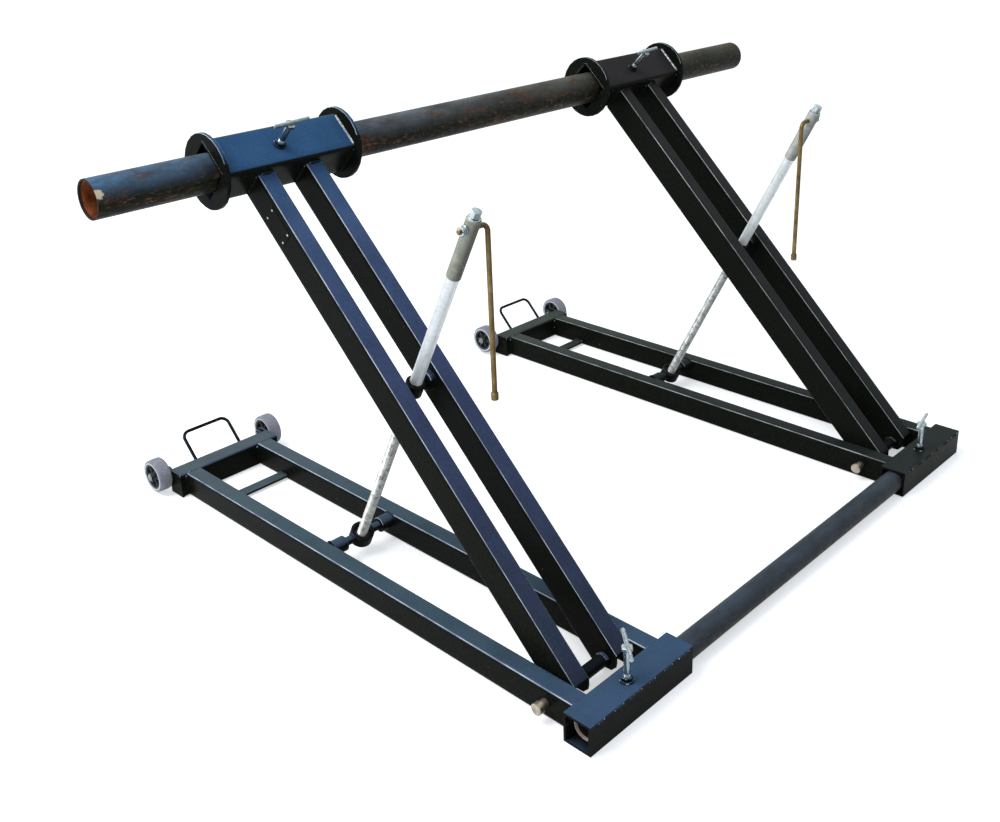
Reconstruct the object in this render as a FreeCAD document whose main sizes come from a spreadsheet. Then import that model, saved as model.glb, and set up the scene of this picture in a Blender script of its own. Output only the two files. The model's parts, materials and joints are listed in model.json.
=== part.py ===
import FreeCAD, Part
import os
import re

from FreeCAD import Placement, Rotation, Vector

# A pair of screw jacks for cable drums.  Each jack is a floor frame with a hinged lifting arm and a
# screw strut between them.  A spindle tube lies across both arms and a tie tube joins both toes.
# Frame: +X from the wheels to the toe, +Y along the spindle from the left jack to the right jack,
# +Z up.  The origin is on the floor under the middle of the whole object.
os.makedirs("parts", exist_ok=True)
doc = FreeCAD.newDocument("cable_drum_jack")
sheet = doc.addObject("Spreadsheet::Sheet", "Sizes")

# Driving sizes in millimetres and degrees.
SIZES = {
    # whole object
    "jack_spacing": 1109,
    "spindle_length": 2000,
    "spindle_overhang": 238,
    "spindle_radius": 38.05,
    "spindle_wall": 4,
    "tie_radius": 24.15,
    "tie_wall": 3.2,
    "tie_recess": 20,
    # fits
    "running_gap": 0.05,
    "seat_gap": 0.3,
    # floor frame
    "rail_length": 1222,
    "rail_width": 40,
    "rail_height": 60,
    "rail_wall": 3,
    "tube_corner": 6,
    "cross_width": 50,
    "cross_overhang": 18,
    "strip_width": 30,
    "strip_thickness": 6,
    "strip_height": 5,
    "strip_distance": 102,
    "handle_radius": 4,
    "handle_width": 124,
    "handle_rise": 82,
    "handle_bend": 18,
    "handle_lean": 43.5,
    "handle_foot_height": 48,
    "toe_width": 60,
    "toe_wall": 5,
    "toe_overhang": 22.5,
    # wheels
    "lug_thickness": 6,
    "lug_radius": 13,
    "wheel_radius": 40,
    "wheel_width": 32,
    "wheel_setback": 45,
    "wheel_height": 46.5,
    "wheel_gap": 2.6,
    "tyre_shoulder": 4,
    "hub_radius": 31,
    "hub_recess": 12,
    "hub_rim": 4,
    "hub_boss_radius": 9,
    "axle_radius": 5,
    "axle_hex_radius": 9.8,
    "axle_head": 6.4,
    "axle_nut": 8,
    "axle_shoulder": 8,
    "axle_tip": 3,
    "hub_inset": 1,
    "hub_ribs": 6,
    "rib_width": 3,
    "rib_inset": 3,
    # hinge
    "hinge_setback": 61,
    "hinge_height": 31,
    "pin_radius": 9,
    "pin_neck": 12,
    "pin_head_radius": 11.5,
    "pin_head_length": 14,
    "pin_nut_radius": 15.6,
    "pin_nut_length": 12,
    "pin_washer_radius": 15,
    "pin_tip": 4,
    "sleeve_radius": 13,
    "sleeve_nut": 8,
    # lifting arm
    "arm_angle": 44.6,
    "arm_gap": 74,
    "arm_clearance": 3,
    "arm_width": 40,
    "arm_depth": 70,
    "arm_wall": 3,
    "arm_end": 24,
    "arm_chamfer": 18,
    "heel_cut": 34,
    "spindle_reach": 1158,
    "box_width": 90,
    "box_wall": 5,
    "box_corner": 7,
    "box_length": 320,
    "box_rise": 12,
    "flange_radius": 75,
    "flange_thickness": 8,
    "plate_length": 72,
    "plate_height": 38,
    "plate_thickness": 1,
    "plate_reach": 1012,
    "plate_rise": 2,
    "rivet_radius": 2.5,
    "rivet_height": 1.2,
    "rivet_inset": 6,
    # screw strut
    "cup_distance": 650,
    "cup_height": 45,
    "cup_radius": 25.5,
    "cup_depth": 16,
    "cup_rim": 12,
    "cup_floor": 5,
    "cup_bore": 17,
    "stub_radius": 9.5,
    "stub_inset": 6,
    "boss_radius": 17,
    "boss_length": 33,
    "bearing_height": 6,
    "rod_radius": 11,
    "rod_spigot": 6,
    "spigot_lift": 1,
    "nut_reach": 612,
    "nut_radius": 19,
    "nut_above": 11,
    "nut_below": 19,
    "nut_stub_radius": 8,
    "nut_stub_play": 4.7,
    "nut_stub_inset": 1,
    "ring_radius": 19,
    "ring_length": 10,
    "nut_washer_radius": 17,
    "nut_washer": 2,
    "drive_tube_radius": 12.5,
    "drive_tube_wall": 2.5,
    "drive_tube_socket": 45,
    "head_radius": 14,
    "head_bottom": 748,
    "head_top": 878,
    "head_socket": 24,
    "top_flange_radius": 12.5,
    "top_flange": 3,
    "top_hex_radius": 10.4,
    "top_hex": 14,
    "top_bolt_radius": 6,
    "top_bolt_depth": 10,
    # crank
    "crank_at": 856,
    "crank_radius": 5,
    "crank_reach": 40,
    "crank_bend": 14,
    "crank_drop": 335,
    "crank_tail": 30,
    "crank_washer": 2.5,
    "crank_washer_radius": 10,
    "crank_nut": 8,
    "crank_nut_radius": 9.8,
    "collar_radius": 7,
    "collar_length": 15,
    "collar_cap": 2,
    # clamp screws
    "clamp_offset": 10,
    "clamp_radius": 6,
    "clamp_nut": 10,
    "clamp_nut_radius": 10.8,
    "clamp_head": 7.5,
    "clamp_bar_radius": 4,
    "clamp_bar_length": 85,
    "clamp_bar_sink": 0.5,
    "toe_clamp_reach": 64,
    "box_clamp_reach": 57,
    "left_toe_bar_turn": 49,
    "right_toe_bar_turn": 12,
    "box_bar_turn": 3,
}

# Positions that follow from the driving sizes.
PLACES = {
    "base_width": "arm_gap + 2 * (arm_width + arm_clearance + rail_width)",
    "toe_back": "(rail_length + cross_width / 2 + wheel_setback + wheel_radius - toe_width) / 2",
    "cross_front": "toe_back - rail_length",
    "axle_back": "cross_front - cross_width / 2 - wheel_setback",
    "hinge_back": "toe_back - hinge_setback",
    "cup_back": "hinge_back - cup_distance",
    "half_base": "base_width / 2",
    "half_inside": "base_width / 2 - rail_width",
    "half_cross": "base_width / 2 + cross_overhang - lug_thickness",
    "half_arms": "half_inside - arm_clearance",
    "half_gap": "arm_gap / 2",
    "left_jack": "0 - spindle_length / 2 + spindle_overhang + box_length / 2",
    "right_jack": "left_jack + jack_spacing",
    "nut_back": "hinge_back - nut_reach * cos(arm_angle)",
    "nut_height": "hinge_height + nut_reach * sin(arm_angle)",
    "strut_span": "sqrt((nut_back - cup_back)^2 + (nut_height - cup_height)^2)",
    "strut_lean": "atan((nut_back - cup_back) / (nut_height - cup_height))",
    "tube_foot": "strut_span + nut_above + seat_gap",
    "spindle_seat": "box_width / 2 - box_wall - spindle_radius - seat_gap",
    "spindle_back": "0 - spindle_reach + spindle_seat",
    "spindle_rise": "box_rise - spindle_seat",
    "tie_height": "toe_wall + seat_gap + tie_radius",
    "tie_top": "tie_height + tie_radius + seat_gap",
    "spindle_top": "spindle_rise + spindle_radius + seat_gap",
    "box_top": "box_rise + box_width / 2",
    "bearing_top": "cup_floor + bearing_height - cup_depth",
}


def in_sheet(rule):
    """A rule with every size name (a name with an underscore) looked up in the sheet."""
    return re.sub(r"[a-z]+(?:_[a-z]+)+", lambda word: "Sizes." + word.group(), rule)


def fill_sheet():
    """Write the driving sizes as plain numbers and the places as formulas, each with its own name."""
    for row, (name, value) in enumerate(list(SIZES.items()) + list(PLACES.items()), start=1):
        text = str(value) if name in SIZES else "=" + value
        sheet.set(f"A{row}", name)
        sheet.set(f"B{row}", text)
        sheet.setAlias(f"B{row}", name)
    doc.recompute()


ALONG = {
    "X": Rotation(Vector(0, 1, 0), 90),
    "Y": Rotation(Vector(1, 0, 0), -90),
    "Z": Rotation(),
}


def bind(thing, prop, rule):
    """Tie one property of a thing to a rule made of sheet names."""
    thing.setExpression(prop, in_sheet(str(rule)))


def place(thing, at, rotation=Rotation(), turn=None):
    """Put a thing at a point given by three rules; turn is a rule for its angle about Y."""
    if turn is not None:
        rotation = Rotation(Vector(0, 1, 0), 30)
    thing.Placement = Placement(Vector(), rotation)
    for axis, rule in zip("xyz", at):
        bind(thing, ".Placement.Base." + axis, rule)
    if turn is not None:
        bind(thing, ".Placement.Rotation.Angle", f"({turn}) * 1 deg")


def new_body(name, at=(0, 0, 0), turn=None):
    """An empty body; at is its own origin and turn its angle about Y."""
    body = doc.addObject("PartDesign::Body", name)
    place(body, at, turn=turn)
    return body


def block(body, size, corner, cut=False, turn=None):
    """Add or cut a block, from its three sizes and its low corner."""
    kind = "PartDesign::SubtractiveBox" if cut else "PartDesign::AdditiveBox"
    feature = body.newObject(kind, body.Name + "_block")
    for prop, rule in zip(("Length", "Width", "Height"), size):
        bind(feature, prop, rule)
    place(feature, corner, turn=turn)
    return feature


def rod(body, along, radius, start, length, cut=False):
    """Add or cut a cylinder that runs along X, Y or Z from a start point."""
    kind = "PartDesign::SubtractiveCylinder" if cut else "PartDesign::AdditiveCylinder"
    feature = body.newObject(kind, body.Name + "_rod")
    bind(feature, "Radius", radius)
    bind(feature, "Height", length)
    place(feature, start, ALONG[along])
    return feature


def hexagon(body, along, corner_radius, start, length):
    """Add a six-sided prism, as on a nut or bolt head."""
    feature = body.newObject("PartDesign::AdditivePrism", body.Name + "_hex")
    feature.Polygon = 6
    bind(feature, "Circumradius", corner_radius)
    bind(feature, "Height", length)
    place(feature, start, ALONG[along])
    return feature


def elbow(body, ring_radius, bar_radius, centre, rotation):
    """Add a quarter of a ring, which joins two straight round bars."""
    feature = body.newObject("PartDesign::AdditiveTorus", body.Name + "_elbow")
    bind(feature, "Radius1", ring_radius)
    bind(feature, "Radius2", bar_radius)
    feature.Angle3 = 90
    place(feature, centre, rotation)
    return feature


def spin(body, feature, along, count):
    """Repeat a feature evenly all round the body's own X, Y or Z axis."""
    axis = [line for line in body.Origin.OriginFeatures if line.Role == along + "_Axis"]
    pattern = body.newObject("PartDesign::PolarPattern", body.Name + "_ring")
    pattern.Originals = [feature]
    pattern.Axis = (axis[0], [""])
    bind(pattern, "Occurrences", count)
    body.Tip = pattern
    return pattern


def round_edges(body, feature, edges, radius):
    """Round the named edges of a feature."""
    fillet = body.newObject("PartDesign::Fillet", body.Name + "_round")
    fillet.Base = (feature, edges)
    bind(fillet, "Radius", radius)
    return fillet


def long_edges(feature, along):
    """Names of the straight edges along an axis, nearest to the middle of the shape first."""
    doc.recompute()
    axis = {"X": Vector(1, 0, 0), "Y": Vector(0, 1, 0), "Z": Vector(0, 0, 1)}[along]
    middle = feature.Shape.BoundBox.Center
    found = []
    for number, edge in enumerate(feature.Shape.Edges, start=1):
        if edge.Curve.TypeId != "Part::GeomLine":
            continue
        step = edge.Vertexes[1].Point - edge.Vertexes[0].Point
        if step.cross(axis).Length > 0.001:
            continue
        away = edge.Vertexes[0].Point - middle
        away -= axis * away.dot(axis)
        found.append((away.Length, f"Edge{number}"))
    return [name for distance, name in sorted(found)]


def rolled_tube(body, along, size, corner, wall, outer_radius):
    """A rectangular steel tube: a hollow block with its long edges rounded inside and outside."""
    block(body, size, corner)
    hollow_size = []
    hollow_corner = []
    for axis, length, low in zip("XYZ", size, corner):
        if axis == along:
            hollow_size.append(length)
            hollow_corner.append(low)
        else:
            hollow_size.append(f"{length} - 2 * {wall}")
            hollow_corner.append(f"{low} + {wall}")
    hollow = block(body, hollow_size, hollow_corner, cut=True)
    inside = round_edges(body, hollow, long_edges(hollow, along)[:4], f"{outer_radius} - {wall}")
    return round_edges(body, inside, long_edges(inside, along)[-4:], outer_radius)


def pipe(body, along, radius, bore, start, length):
    """A round tube."""
    rod(body, along, radius, start, length)
    return rod(body, along, bore, start, length, cut=True)


def base_rails():
    """Two rolled tubes along X, drilled near the toe for the hinge pin."""
    rails = []
    for side, edge in (("near", "0 - half_base"), ("far", "half_inside")):
        rail = new_body(f"rail_{side}", ("cross_front", edge, 0))
        rolled_tube(rail, "X", ("rail_length", "rail_width", "rail_height"), (0, 0, 0),
                    "rail_wall", "tube_corner")
        rod(rail, "Y", "pin_radius + running_gap",
            ("rail_length - hinge_setback", "0 - rail_width", "hinge_height"),
            "3 * rail_width", cut=True)
        rails.append(rail)
    return rails


def rear_crossmember():
    """The rear tube along Y, closed at both ends by a plate that reaches back to a wheel axle."""
    tube = new_body("cross_tube", ("cross_front - cross_width", "0 - half_cross", 0))
    rolled_tube(tube, "Y", ("cross_width", "2 * half_cross", "rail_height"), (0, 0, 0),
                "rail_wall", "tube_corner")
    solids = [tube]
    for side, edge in (("near", "0 - half_cross - lug_thickness"), ("far", "half_cross")):
        lug = new_body(f"wheel_lug_{side}", ("axle_back", edge, "wheel_height"))
        block(lug, ("cross_width", "lug_thickness", "rail_height"),
              ("wheel_setback - cross_width / 2", 0, "0 - wheel_height"))
        block(lug, ("wheel_setback", "lug_thickness", "2 * lug_radius"),
              (0, 0, "0 - lug_radius"))
        rod(lug, "Y", "lug_radius", (0, 0, 0), "lug_thickness")
        rod(lug, "Y", "axle_radius + running_gap", (0, "0 - lug_thickness", 0),
            "3 * lug_thickness", cut=True)
        solids.append(lug)
    return solids


def rail_tie_strip():
    """A flat bar between the rails at floor level."""
    strip = new_body("tie_strip", ("cross_front + strip_distance", "0 - half_inside", 0))
    block(strip, ("strip_width", "2 * half_inside", "strip_thickness"),
          ("0 - strip_width / 2", 0, "strip_height"))
    return [strip]


def carry_handle():
    """A round bar bent to a U, leaning back from the rear face of the crossmember."""
    grip = new_body("grip_bar", ("cross_front - cross_width", 0, "handle_foot_height"),
                    turn="0 - handle_lean")
    half = "handle_width / 2"
    leg = "handle_rise - handle_bend"
    rod(grip, "Z", "handle_radius", (0, f"0 - {half}", "0 - 2 * handle_radius"),
        f"{leg} + 2 * handle_radius")
    elbow(grip, "handle_bend", "handle_radius", (0, f"handle_bend - {half}", leg),
          Rotation(Vector(1, 0, 1), 180))
    rod(grip, "Y", "handle_radius", (0, f"handle_bend - {half}", "handle_rise"),
        "handle_width - 2 * handle_bend")
    elbow(grip, "handle_bend", "handle_radius", (0, f"{half} - handle_bend", leg),
          Rotation(Vector(1, 1, 1), 120))
    rod(grip, "Z", "handle_radius", (0, half, "0 - 2 * handle_radius"),
        f"{leg} + 2 * handle_radius")
    # the feet are cut off along the rear face, where they are welded
    block(grip, ("6 * handle_radius", "2 * handle_width", "12 * handle_radius"),
          ("0 - 6 * handle_radius * sin(handle_lean)", "0 - handle_width",
           "0 - 6 * handle_radius * cos(handle_lean)"), cut=True, turn="handle_lean")
    return [grip]


def toe_box():
    """Two angle bars that close round the tie tube, with a nut welded on top for the clamp."""
    width = "base_width + 2 * toe_overhang"
    upper = new_body("toe_upper_angle", ("toe_back", "0 - half_base - toe_overhang", 0))
    block(upper, ("toe_width", width, "toe_wall"), (0, 0, "rail_height - toe_wall"))
    block(upper, ("toe_wall", width, "rail_height"), (0, 0, 0))
    rod(upper, "Z", "clamp_radius + seat_gap",
        ("toe_width / 2", "half_base + toe_overhang - clamp_offset", "rail_height - 2 * toe_wall"),
        "3 * toe_wall", cut=True)
    lower = new_body("toe_lower_angle", ("toe_back", "0 - half_base - toe_overhang", 0))
    block(lower, ("toe_width - toe_wall", width, "toe_wall"), ("toe_wall", 0, 0))
    block(lower, ("toe_wall", width, "rail_height - toe_wall"), ("toe_width - toe_wall", 0, 0))
    nut = new_body("toe_weld_nut", ("toe_back + toe_width / 2", "0 - clamp_offset", "rail_height"))
    hexagon(nut, "Z", "clamp_nut_radius", (0, 0, 0), "clamp_nut")
    rod(nut, "Z", "clamp_radius + running_gap", (0, 0, "0 - clamp_nut"), "3 * clamp_nut", cut=True)
    return [upper, lower, nut]


def cup_bosses():
    """Two pipe stubs on the rails' inner faces that carry the cup at the foot of the screw."""
    bosses = []
    for side, edge in (("near", "0 - half_inside"), ("far", "half_inside - boss_length")):
        boss = new_body(f"cup_boss_{side}", ("cup_back", edge, "cup_height"))
        pipe(boss, "Y", "boss_radius", "stub_radius + running_gap", (0, 0, 0), "boss_length")
        bosses.append(boss)
    return bosses


def hinge_pin():
    """The headed pin through rails and arms, with its nut and the washers beside the arms."""
    pin = new_body("pin", ("hinge_back", 0, "hinge_height"))
    rod(pin, "Y", "pin_radius", (0, "0 - half_base - pin_neck", 0),
        "base_width + pin_neck + pin_nut_length + pin_tip")
    rod(pin, "Y", "pin_head_radius", (0, "0 - half_base - pin_neck - pin_head_length", 0),
        "pin_head_length")
    nut = new_body("pin_nut", ("hinge_back", "half_base", "hinge_height"))
    hexagon(nut, "Y", "pin_nut_radius", (0, 0, 0), "pin_nut_length")
    rod(nut, "Y", "pin_radius", (0, "0 - pin_nut_length", 0), "3 * pin_nut_length", cut=True)
    solids = [pin, nut]
    for side, edge in (("near", "0 - half_inside"), ("far", "half_arms + seat_gap")):
        washer = new_body(f"pin_washer_{side}", ("hinge_back", edge, "hinge_height"))
        pipe(washer, "Y", "pin_washer_radius", "pin_radius", (0, 0, 0),
             "half_inside - half_arms - seat_gap")
        solids.append(washer)
    return solids


def axle_bolts():
    """A shoulder bolt and nut for each wheel; the heads are outside the wheels."""
    solids = []
    for side, sign in (("near", -1), ("far", 1)):
        inner = "half_cross"
        face = "(half_cross + lug_thickness)"
        grip = "(wheel_gap + wheel_width)"
        bolt = new_body(f"axle_bolt_{side}", ("axle_back", 0, "wheel_height"))
        if sign < 0:
            rod(bolt, "Y", "axle_radius", (0, f"0 - {face} - {grip} - seat_gap", 0),
                f"{grip} + lug_thickness + axle_nut + axle_tip")
            rod(bolt, "Y", "axle_shoulder", (0, f"0 - {face} - wheel_gap + seat_gap", 0),
                "wheel_gap - seat_gap")
            hexagon(bolt, "Y", "axle_hex_radius",
                    (0, f"0 - {face} - {grip} - seat_gap - axle_head", 0), "axle_head")
            nut_edge = f"0 - {inner}"
        else:
            rod(bolt, "Y", "axle_radius", (0, f"{inner} - axle_nut - axle_tip", 0),
                f"{grip} + lug_thickness + axle_nut + axle_tip + seat_gap")
            rod(bolt, "Y", "axle_shoulder", (0, face, 0), "wheel_gap - seat_gap")
            hexagon(bolt, "Y", "axle_hex_radius", (0, f"{face} + {grip} + seat_gap", 0),
                    "axle_head")
            nut_edge = f"{inner} - axle_nut"
        nut = new_body(f"axle_nut_{side}", ("axle_back", nut_edge, "wheel_height"))
        hexagon(nut, "Y", "axle_hex_radius", (0, 0, 0), "axle_nut")
        rod(nut, "Y", "axle_radius", (0, "0 - axle_nut", 0), "3 * axle_nut", cut=True)
        solids += [bolt, nut]
    return solids


def wheel_low_face(side):
    """The low-Y face of a wheel."""
    face = "(half_cross + lug_thickness + wheel_gap)"
    return f"0 - {face} - wheel_width" if side == "near" else face


def wheel_hub(side):
    """A moulded hub: a rim, a ribbed web, and a boss with a bore that runs on the bolt."""
    hub = new_body(f"hub_{side}", ("axle_back", wheel_low_face(side), "wheel_height"))
    rod(hub, "Y", "hub_radius", (0, "hub_inset", 0), "wheel_width - 2 * hub_inset")
    rod(hub, "Y", "hub_radius - hub_rim", (0, 0, 0), "hub_recess + hub_inset",
        cut=True)
    rod(hub, "Y", "hub_radius - hub_rim", (0, "wheel_width - hub_recess - hub_inset", 0),
        "hub_recess + hub_inset", cut=True)
    rod(hub, "Y", "hub_boss_radius", (0, 0, 0), "wheel_width")
    rib = block(hub, ("hub_radius - hub_rim / 2", "wheel_width - 2 * rib_inset", "rib_width"),
                (0, "rib_inset", "0 - rib_width / 2"))
    spin(hub, rib, "Y", "hub_ribs")
    rod(hub, "Y", "axle_radius + running_gap", (0, "0 - wheel_width", 0), "3 * wheel_width",
        cut=True)
    return [hub]


def wheel_tyre(side):
    """A rubber tyre with round shoulders, bonded on the hub."""
    tyre = new_body(f"tyre_{side}", ("axle_back", wheel_low_face(side), "wheel_height"))
    solid = rod(tyre, "Y", "wheel_radius", (0, 0, 0), "wheel_width")
    doc.recompute()
    rims = [f"Edge{n}" for n, edge in enumerate(solid.Shape.Edges, start=1)
            if edge.Curve.TypeId == "Part::GeomCircle"]
    round_edges(tyre, solid, rims, "tyre_shoulder")
    rod(tyre, "Y", "hub_radius", (0, "0 - wheel_width", 0), "3 * wheel_width", cut=True)
    return [tyre]


def arm_body(name):
    """A body of the lifting arm, drawn as if folded flat: the hinge is its origin, the arm runs
    along -X and its top faces +Z."""
    return new_body(name, ("hinge_back", 0, "hinge_height"), turn="arm_angle")


def arm_tubes():
    """Two rolled tubes from the hinge to the spindle box, with cut corners at the hinge end."""
    tubes = []
    length = "spindle_reach - box_width / 2 + arm_end"
    for side, edge in (("near", "0 - half_arms"), ("far", "half_gap")):
        tube = arm_body(f"arm_{side}")
        rolled_tube(tube, "X", (length, "arm_width", "arm_depth"),
                    ("box_width / 2 - spindle_reach", edge, "0 - arm_depth / 2"),
                    "arm_wall", "tube_corner")
        # both corners of the end are cut at 45 degrees, the lower one deeper to clear the floor
        half = "arm_depth * sqrt(2) / 4"
        for corner, sign in (("arm_chamfer", 1), ("heel_cut", -1)):
            block(tube, ("arm_depth", "3 * arm_width", "arm_depth"),
                  (f"arm_end - {corner} / 2 + {sign} * {half}", f"{edge} - arm_width",
                   f"{sign} * (arm_depth / 2 - {corner} / 2) - {half}"),
                  cut=True, turn=f"{sign} * (0 - 45)")
        rod(tube, "Y", "pin_radius + running_gap", (0, f"{edge} - arm_width", 0),
            "3 * arm_width", cut=True)
        tubes.append(tube)
    return tubes


def bare_plate():
    """A bare plate and its four rivets on the near tube of the left arm."""
    plate = arm_body("plate")
    face = "0 - half_arms"
    block(plate, ("plate_length", "plate_thickness", "plate_height"),
          ("0 - plate_reach - plate_length / 2", f"{face} - plate_thickness",
           "plate_rise - plate_height / 2"))
    for along in (-1, 1):
        for up in (-1, 1):
            rod(plate, "Y", "rivet_radius",
                (f"0 - plate_reach + {along} * (plate_length / 2 - rivet_inset)",
                 f"{face} - plate_thickness - rivet_height",
                 f"plate_rise + {up} * (plate_height / 2 - rivet_inset)"), "rivet_height")
    return [plate]


def spindle_box():
    """The square tube that the spindle lies in, with a nut welded on top for the clamp."""
    box = arm_body("box_tube")
    rolled_tube(box, "Y", ("box_width", "box_length", "box_width"),
                ("0 - spindle_reach - box_width / 2", "0 - box_length / 2",
                 "box_rise - box_width / 2"), "box_wall", "box_corner")
    rod(box, "Z", "clamp_radius + seat_gap", ("spindle_back", "0 - clamp_offset", "box_rise"),
        "box_width", cut=True)
    nut = arm_body("box_weld_nut")
    hexagon(nut, "Z", "clamp_nut_radius", ("spindle_back", "0 - clamp_offset", "box_top"),
            "clamp_nut")
    rod(nut, "Z", "clamp_radius + running_gap", ("spindle_back", "0 - clamp_offset", "box_rise"),
        "box_width", cut=True)
    return [box, nut]


def box_flanges():
    """A round plate on each end of the spindle box, cut out square to the box."""
    flanges = []
    for side, edge in (("near", "0 - box_length / 2"), ("far", "box_length / 2 - flange_thickness")):
        flange = arm_body(f"flange_{side}")
        rod(flange, "Y", "flange_radius", ("0 - spindle_reach", edge, "box_rise"),
            "flange_thickness")
        hole = block(flange, ("box_width", "3 * flange_thickness", "box_width"),
                     ("0 - spindle_reach - box_width / 2", f"{edge} - flange_thickness",
                      "box_rise - box_width / 2"), cut=True)
        inner = long_edges(hole, "Y")[:4]
        round_edges(flange, hole, inner, "box_corner")
        flanges.append(flange)
    return flanges


def arm_bosses():
    """Two rings on the arms' inner faces; the stubs of the lift nut stand in them with play."""
    rings = []
    for side, edge in (("near", "0 - half_gap"), ("far", "half_gap - ring_length")):
        ring = arm_body(f"arm_ring_{side}")
        pipe(ring, "Y", "ring_radius", "nut_stub_radius + nut_stub_play",
             ("0 - nut_reach", edge, 0), "ring_length")
        rings.append(ring)
    return rings


def hinge_sleeve():
    """The spacer on the hinge pin between the arms, and the nut at its far end."""
    sleeve = arm_body("sleeve")
    pipe(sleeve, "Y", "sleeve_radius", "pin_radius + running_gap", (0, "0 - half_gap", 0),
         "2 * half_gap - sleeve_nut")
    nut = arm_body("sleeve_end_nut")
    hexagon(nut, "Y", "pin_nut_radius", (0, "half_gap - sleeve_nut", 0), "sleeve_nut")
    rod(nut, "Y", "pin_radius + running_gap", (0, "0 - half_gap", 0), "3 * half_gap", cut=True)
    return [sleeve, nut]


def strut_body(name):
    """A body of the strut: the pivot of the cup is its origin and the screw runs along +Z."""
    return new_body(name, ("cup_back", 0, "cup_height"), turn="strut_lean")


def screw_cup():
    """The cup at the foot of the screw, with a stub on each side that turns in a boss."""
    cup = strut_body("cup")
    rod(cup, "Y", "stub_radius", (0, "0 - half_inside + stub_inset", 0),
        "2 * half_inside - 2 * stub_inset")
    rod(cup, "Z", "cup_radius", (0, 0, "0 - cup_depth"), "cup_depth + cup_rim")
    rod(cup, "Z", "cup_bore", (0, 0, "cup_floor - cup_depth"), "2 * cup_depth + cup_rim", cut=True)
    return [cup]


def thrust_bearing():
    """The ring in the cup that carries the screw."""
    ring = strut_body("bearing_ring")
    pipe(ring, "Z", "cup_bore - running_gap", "rod_spigot + running_gap",
         (0, 0, "cup_floor - cup_depth"), "bearing_height")
    return [ring]


def lift_screw():
    """The threaded rod; its foot stands in the bearing and its top in the drive tube."""
    screw = strut_body("screw")
    rod(screw, "Z", "rod_radius", (0, 0, "bearing_top + seat_gap"),
        "tube_foot - bearing_top - seat_gap")
    rod(screw, "Z", "rod_spigot", (0, 0, "bearing_top - bearing_height + spigot_lift"),
        "bearing_height")
    rod(screw, "Z", "drive_tube_radius - drive_tube_wall", (0, 0, "tube_foot - spigot_lift"),
        "drive_tube_socket + spigot_lift")
    return [screw]


def lift_nut():
    """The nut that climbs the screw, with a stub and a washer on each side for the arms."""
    nut = strut_body("nut")
    rod(nut, "Z", "nut_radius", (0, 0, "strut_span - nut_below"), "nut_below + nut_above")
    rod(nut, "Y", "nut_stub_radius", (0, "0 - half_gap + nut_stub_inset", "strut_span"),
        "2 * half_gap - 2 * nut_stub_inset")
    for edge in ("0 - half_gap + ring_length + seat_gap",
                 "half_gap - ring_length - seat_gap - nut_washer"):
        rod(nut, "Y", "nut_washer_radius", (0, edge, "strut_span"), "nut_washer")
    rod(nut, "Z", "rod_radius + running_gap", (0, 0, "strut_span - 2 * nut_below"),
        "4 * nut_below", cut=True)
    return [nut]


def drive_tube():
    """The tube that carries the drive from the head down to the screw; the nut stops at its end."""
    tube = strut_body("drive_pipe")
    pipe(tube, "Z", "drive_tube_radius", "drive_tube_radius - drive_tube_wall",
         (0, 0, "tube_foot"), "head_bottom + head_socket - tube_foot")
    return [tube]


def drive_head():
    """The head on top of the drive tube, with a cross hole for the crank."""
    head = strut_body("head")
    rod(head, "Z", "head_radius", (0, 0, "head_bottom"), "head_top - head_bottom")
    rod(head, "Z", "drive_tube_radius", (0, 0, "head_bottom"), "head_socket", cut=True)
    rod(head, "Z", "top_bolt_radius", (0, 0, "head_top - top_bolt_depth"), "2 * top_bolt_depth",
        cut=True)
    rod(head, "Y", "crank_radius + running_gap", (0, "0 - 2 * head_radius", "crank_at"),
        "4 * head_radius", cut=True)
    return [head]


def hex_head():
    """The hexagon bolt in the top of the head, for a spanner or a power driver."""
    bolt = strut_body("top_bolt")
    rod(bolt, "Z", "top_bolt_radius", (0, 0, "head_top - top_bolt_depth"),
        "top_bolt_depth + top_flange / 2")
    rod(bolt, "Z", "top_flange_radius", (0, 0, "head_top"), "top_flange")
    hexagon(bolt, "Z", "top_hex_radius", (0, 0, "head_top + top_flange"), "top_hex")
    return [bolt]


def crank_body(name):
    """A body of the crank, which hangs straight down from the cross hole of the head."""
    return new_body(name, ("cup_back + crank_at * sin(strut_lean)", 0,
                           "cup_height + crank_at * cos(strut_lean)"))


def crank_handle():
    """A round bar through the head, bent down to a leg, with its nut, washer and end collar."""
    bar = crank_body("crank_bar")
    rod(bar, "Y", "crank_radius", (0, "0 - crank_tail", 0), "crank_tail + crank_reach - crank_bend")
    elbow(bar, "crank_bend", "crank_radius", (0, "crank_reach - crank_bend", "0 - crank_bend"),
          Rotation(Vector(1, 1, 1), 120))
    rod(bar, "Z", "crank_radius", (0, "crank_reach", "collar_cap - crank_drop"),
        "crank_drop - collar_cap - crank_bend")
    washer = crank_body("crank_washer_ring")
    pipe(washer, "Y", "crank_washer_radius", "crank_radius",
         (0, "0 - head_radius - seat_gap - crank_washer", 0), "crank_washer")
    nut = crank_body("crank_hex")
    nut_low = "0 - head_radius - seat_gap - crank_washer - crank_nut"
    hexagon(nut, "Y", "crank_nut_radius", (0, nut_low, 0), "crank_nut")
    rod(nut, "Y", "crank_radius", (0, f"{nut_low} - crank_nut", 0), "3 * crank_nut", cut=True)
    collar = crank_body("crank_collar")
    rod(collar, "Z", "collar_radius", (0, "crank_reach", "0 - crank_drop"), "collar_length")
    rod(collar, "Z", "crank_radius", (0, "crank_reach", "collar_cap - crank_drop"), "2 * collar_length",
        cut=True)
    return [bar, washer, nut, collar]


def toe_clamp_body(name):
    """A body on the toe box top, with its origin under the clamp screw."""
    return new_body(name, ("toe_back + toe_width / 2", "0 - clamp_offset", 0))


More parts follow.
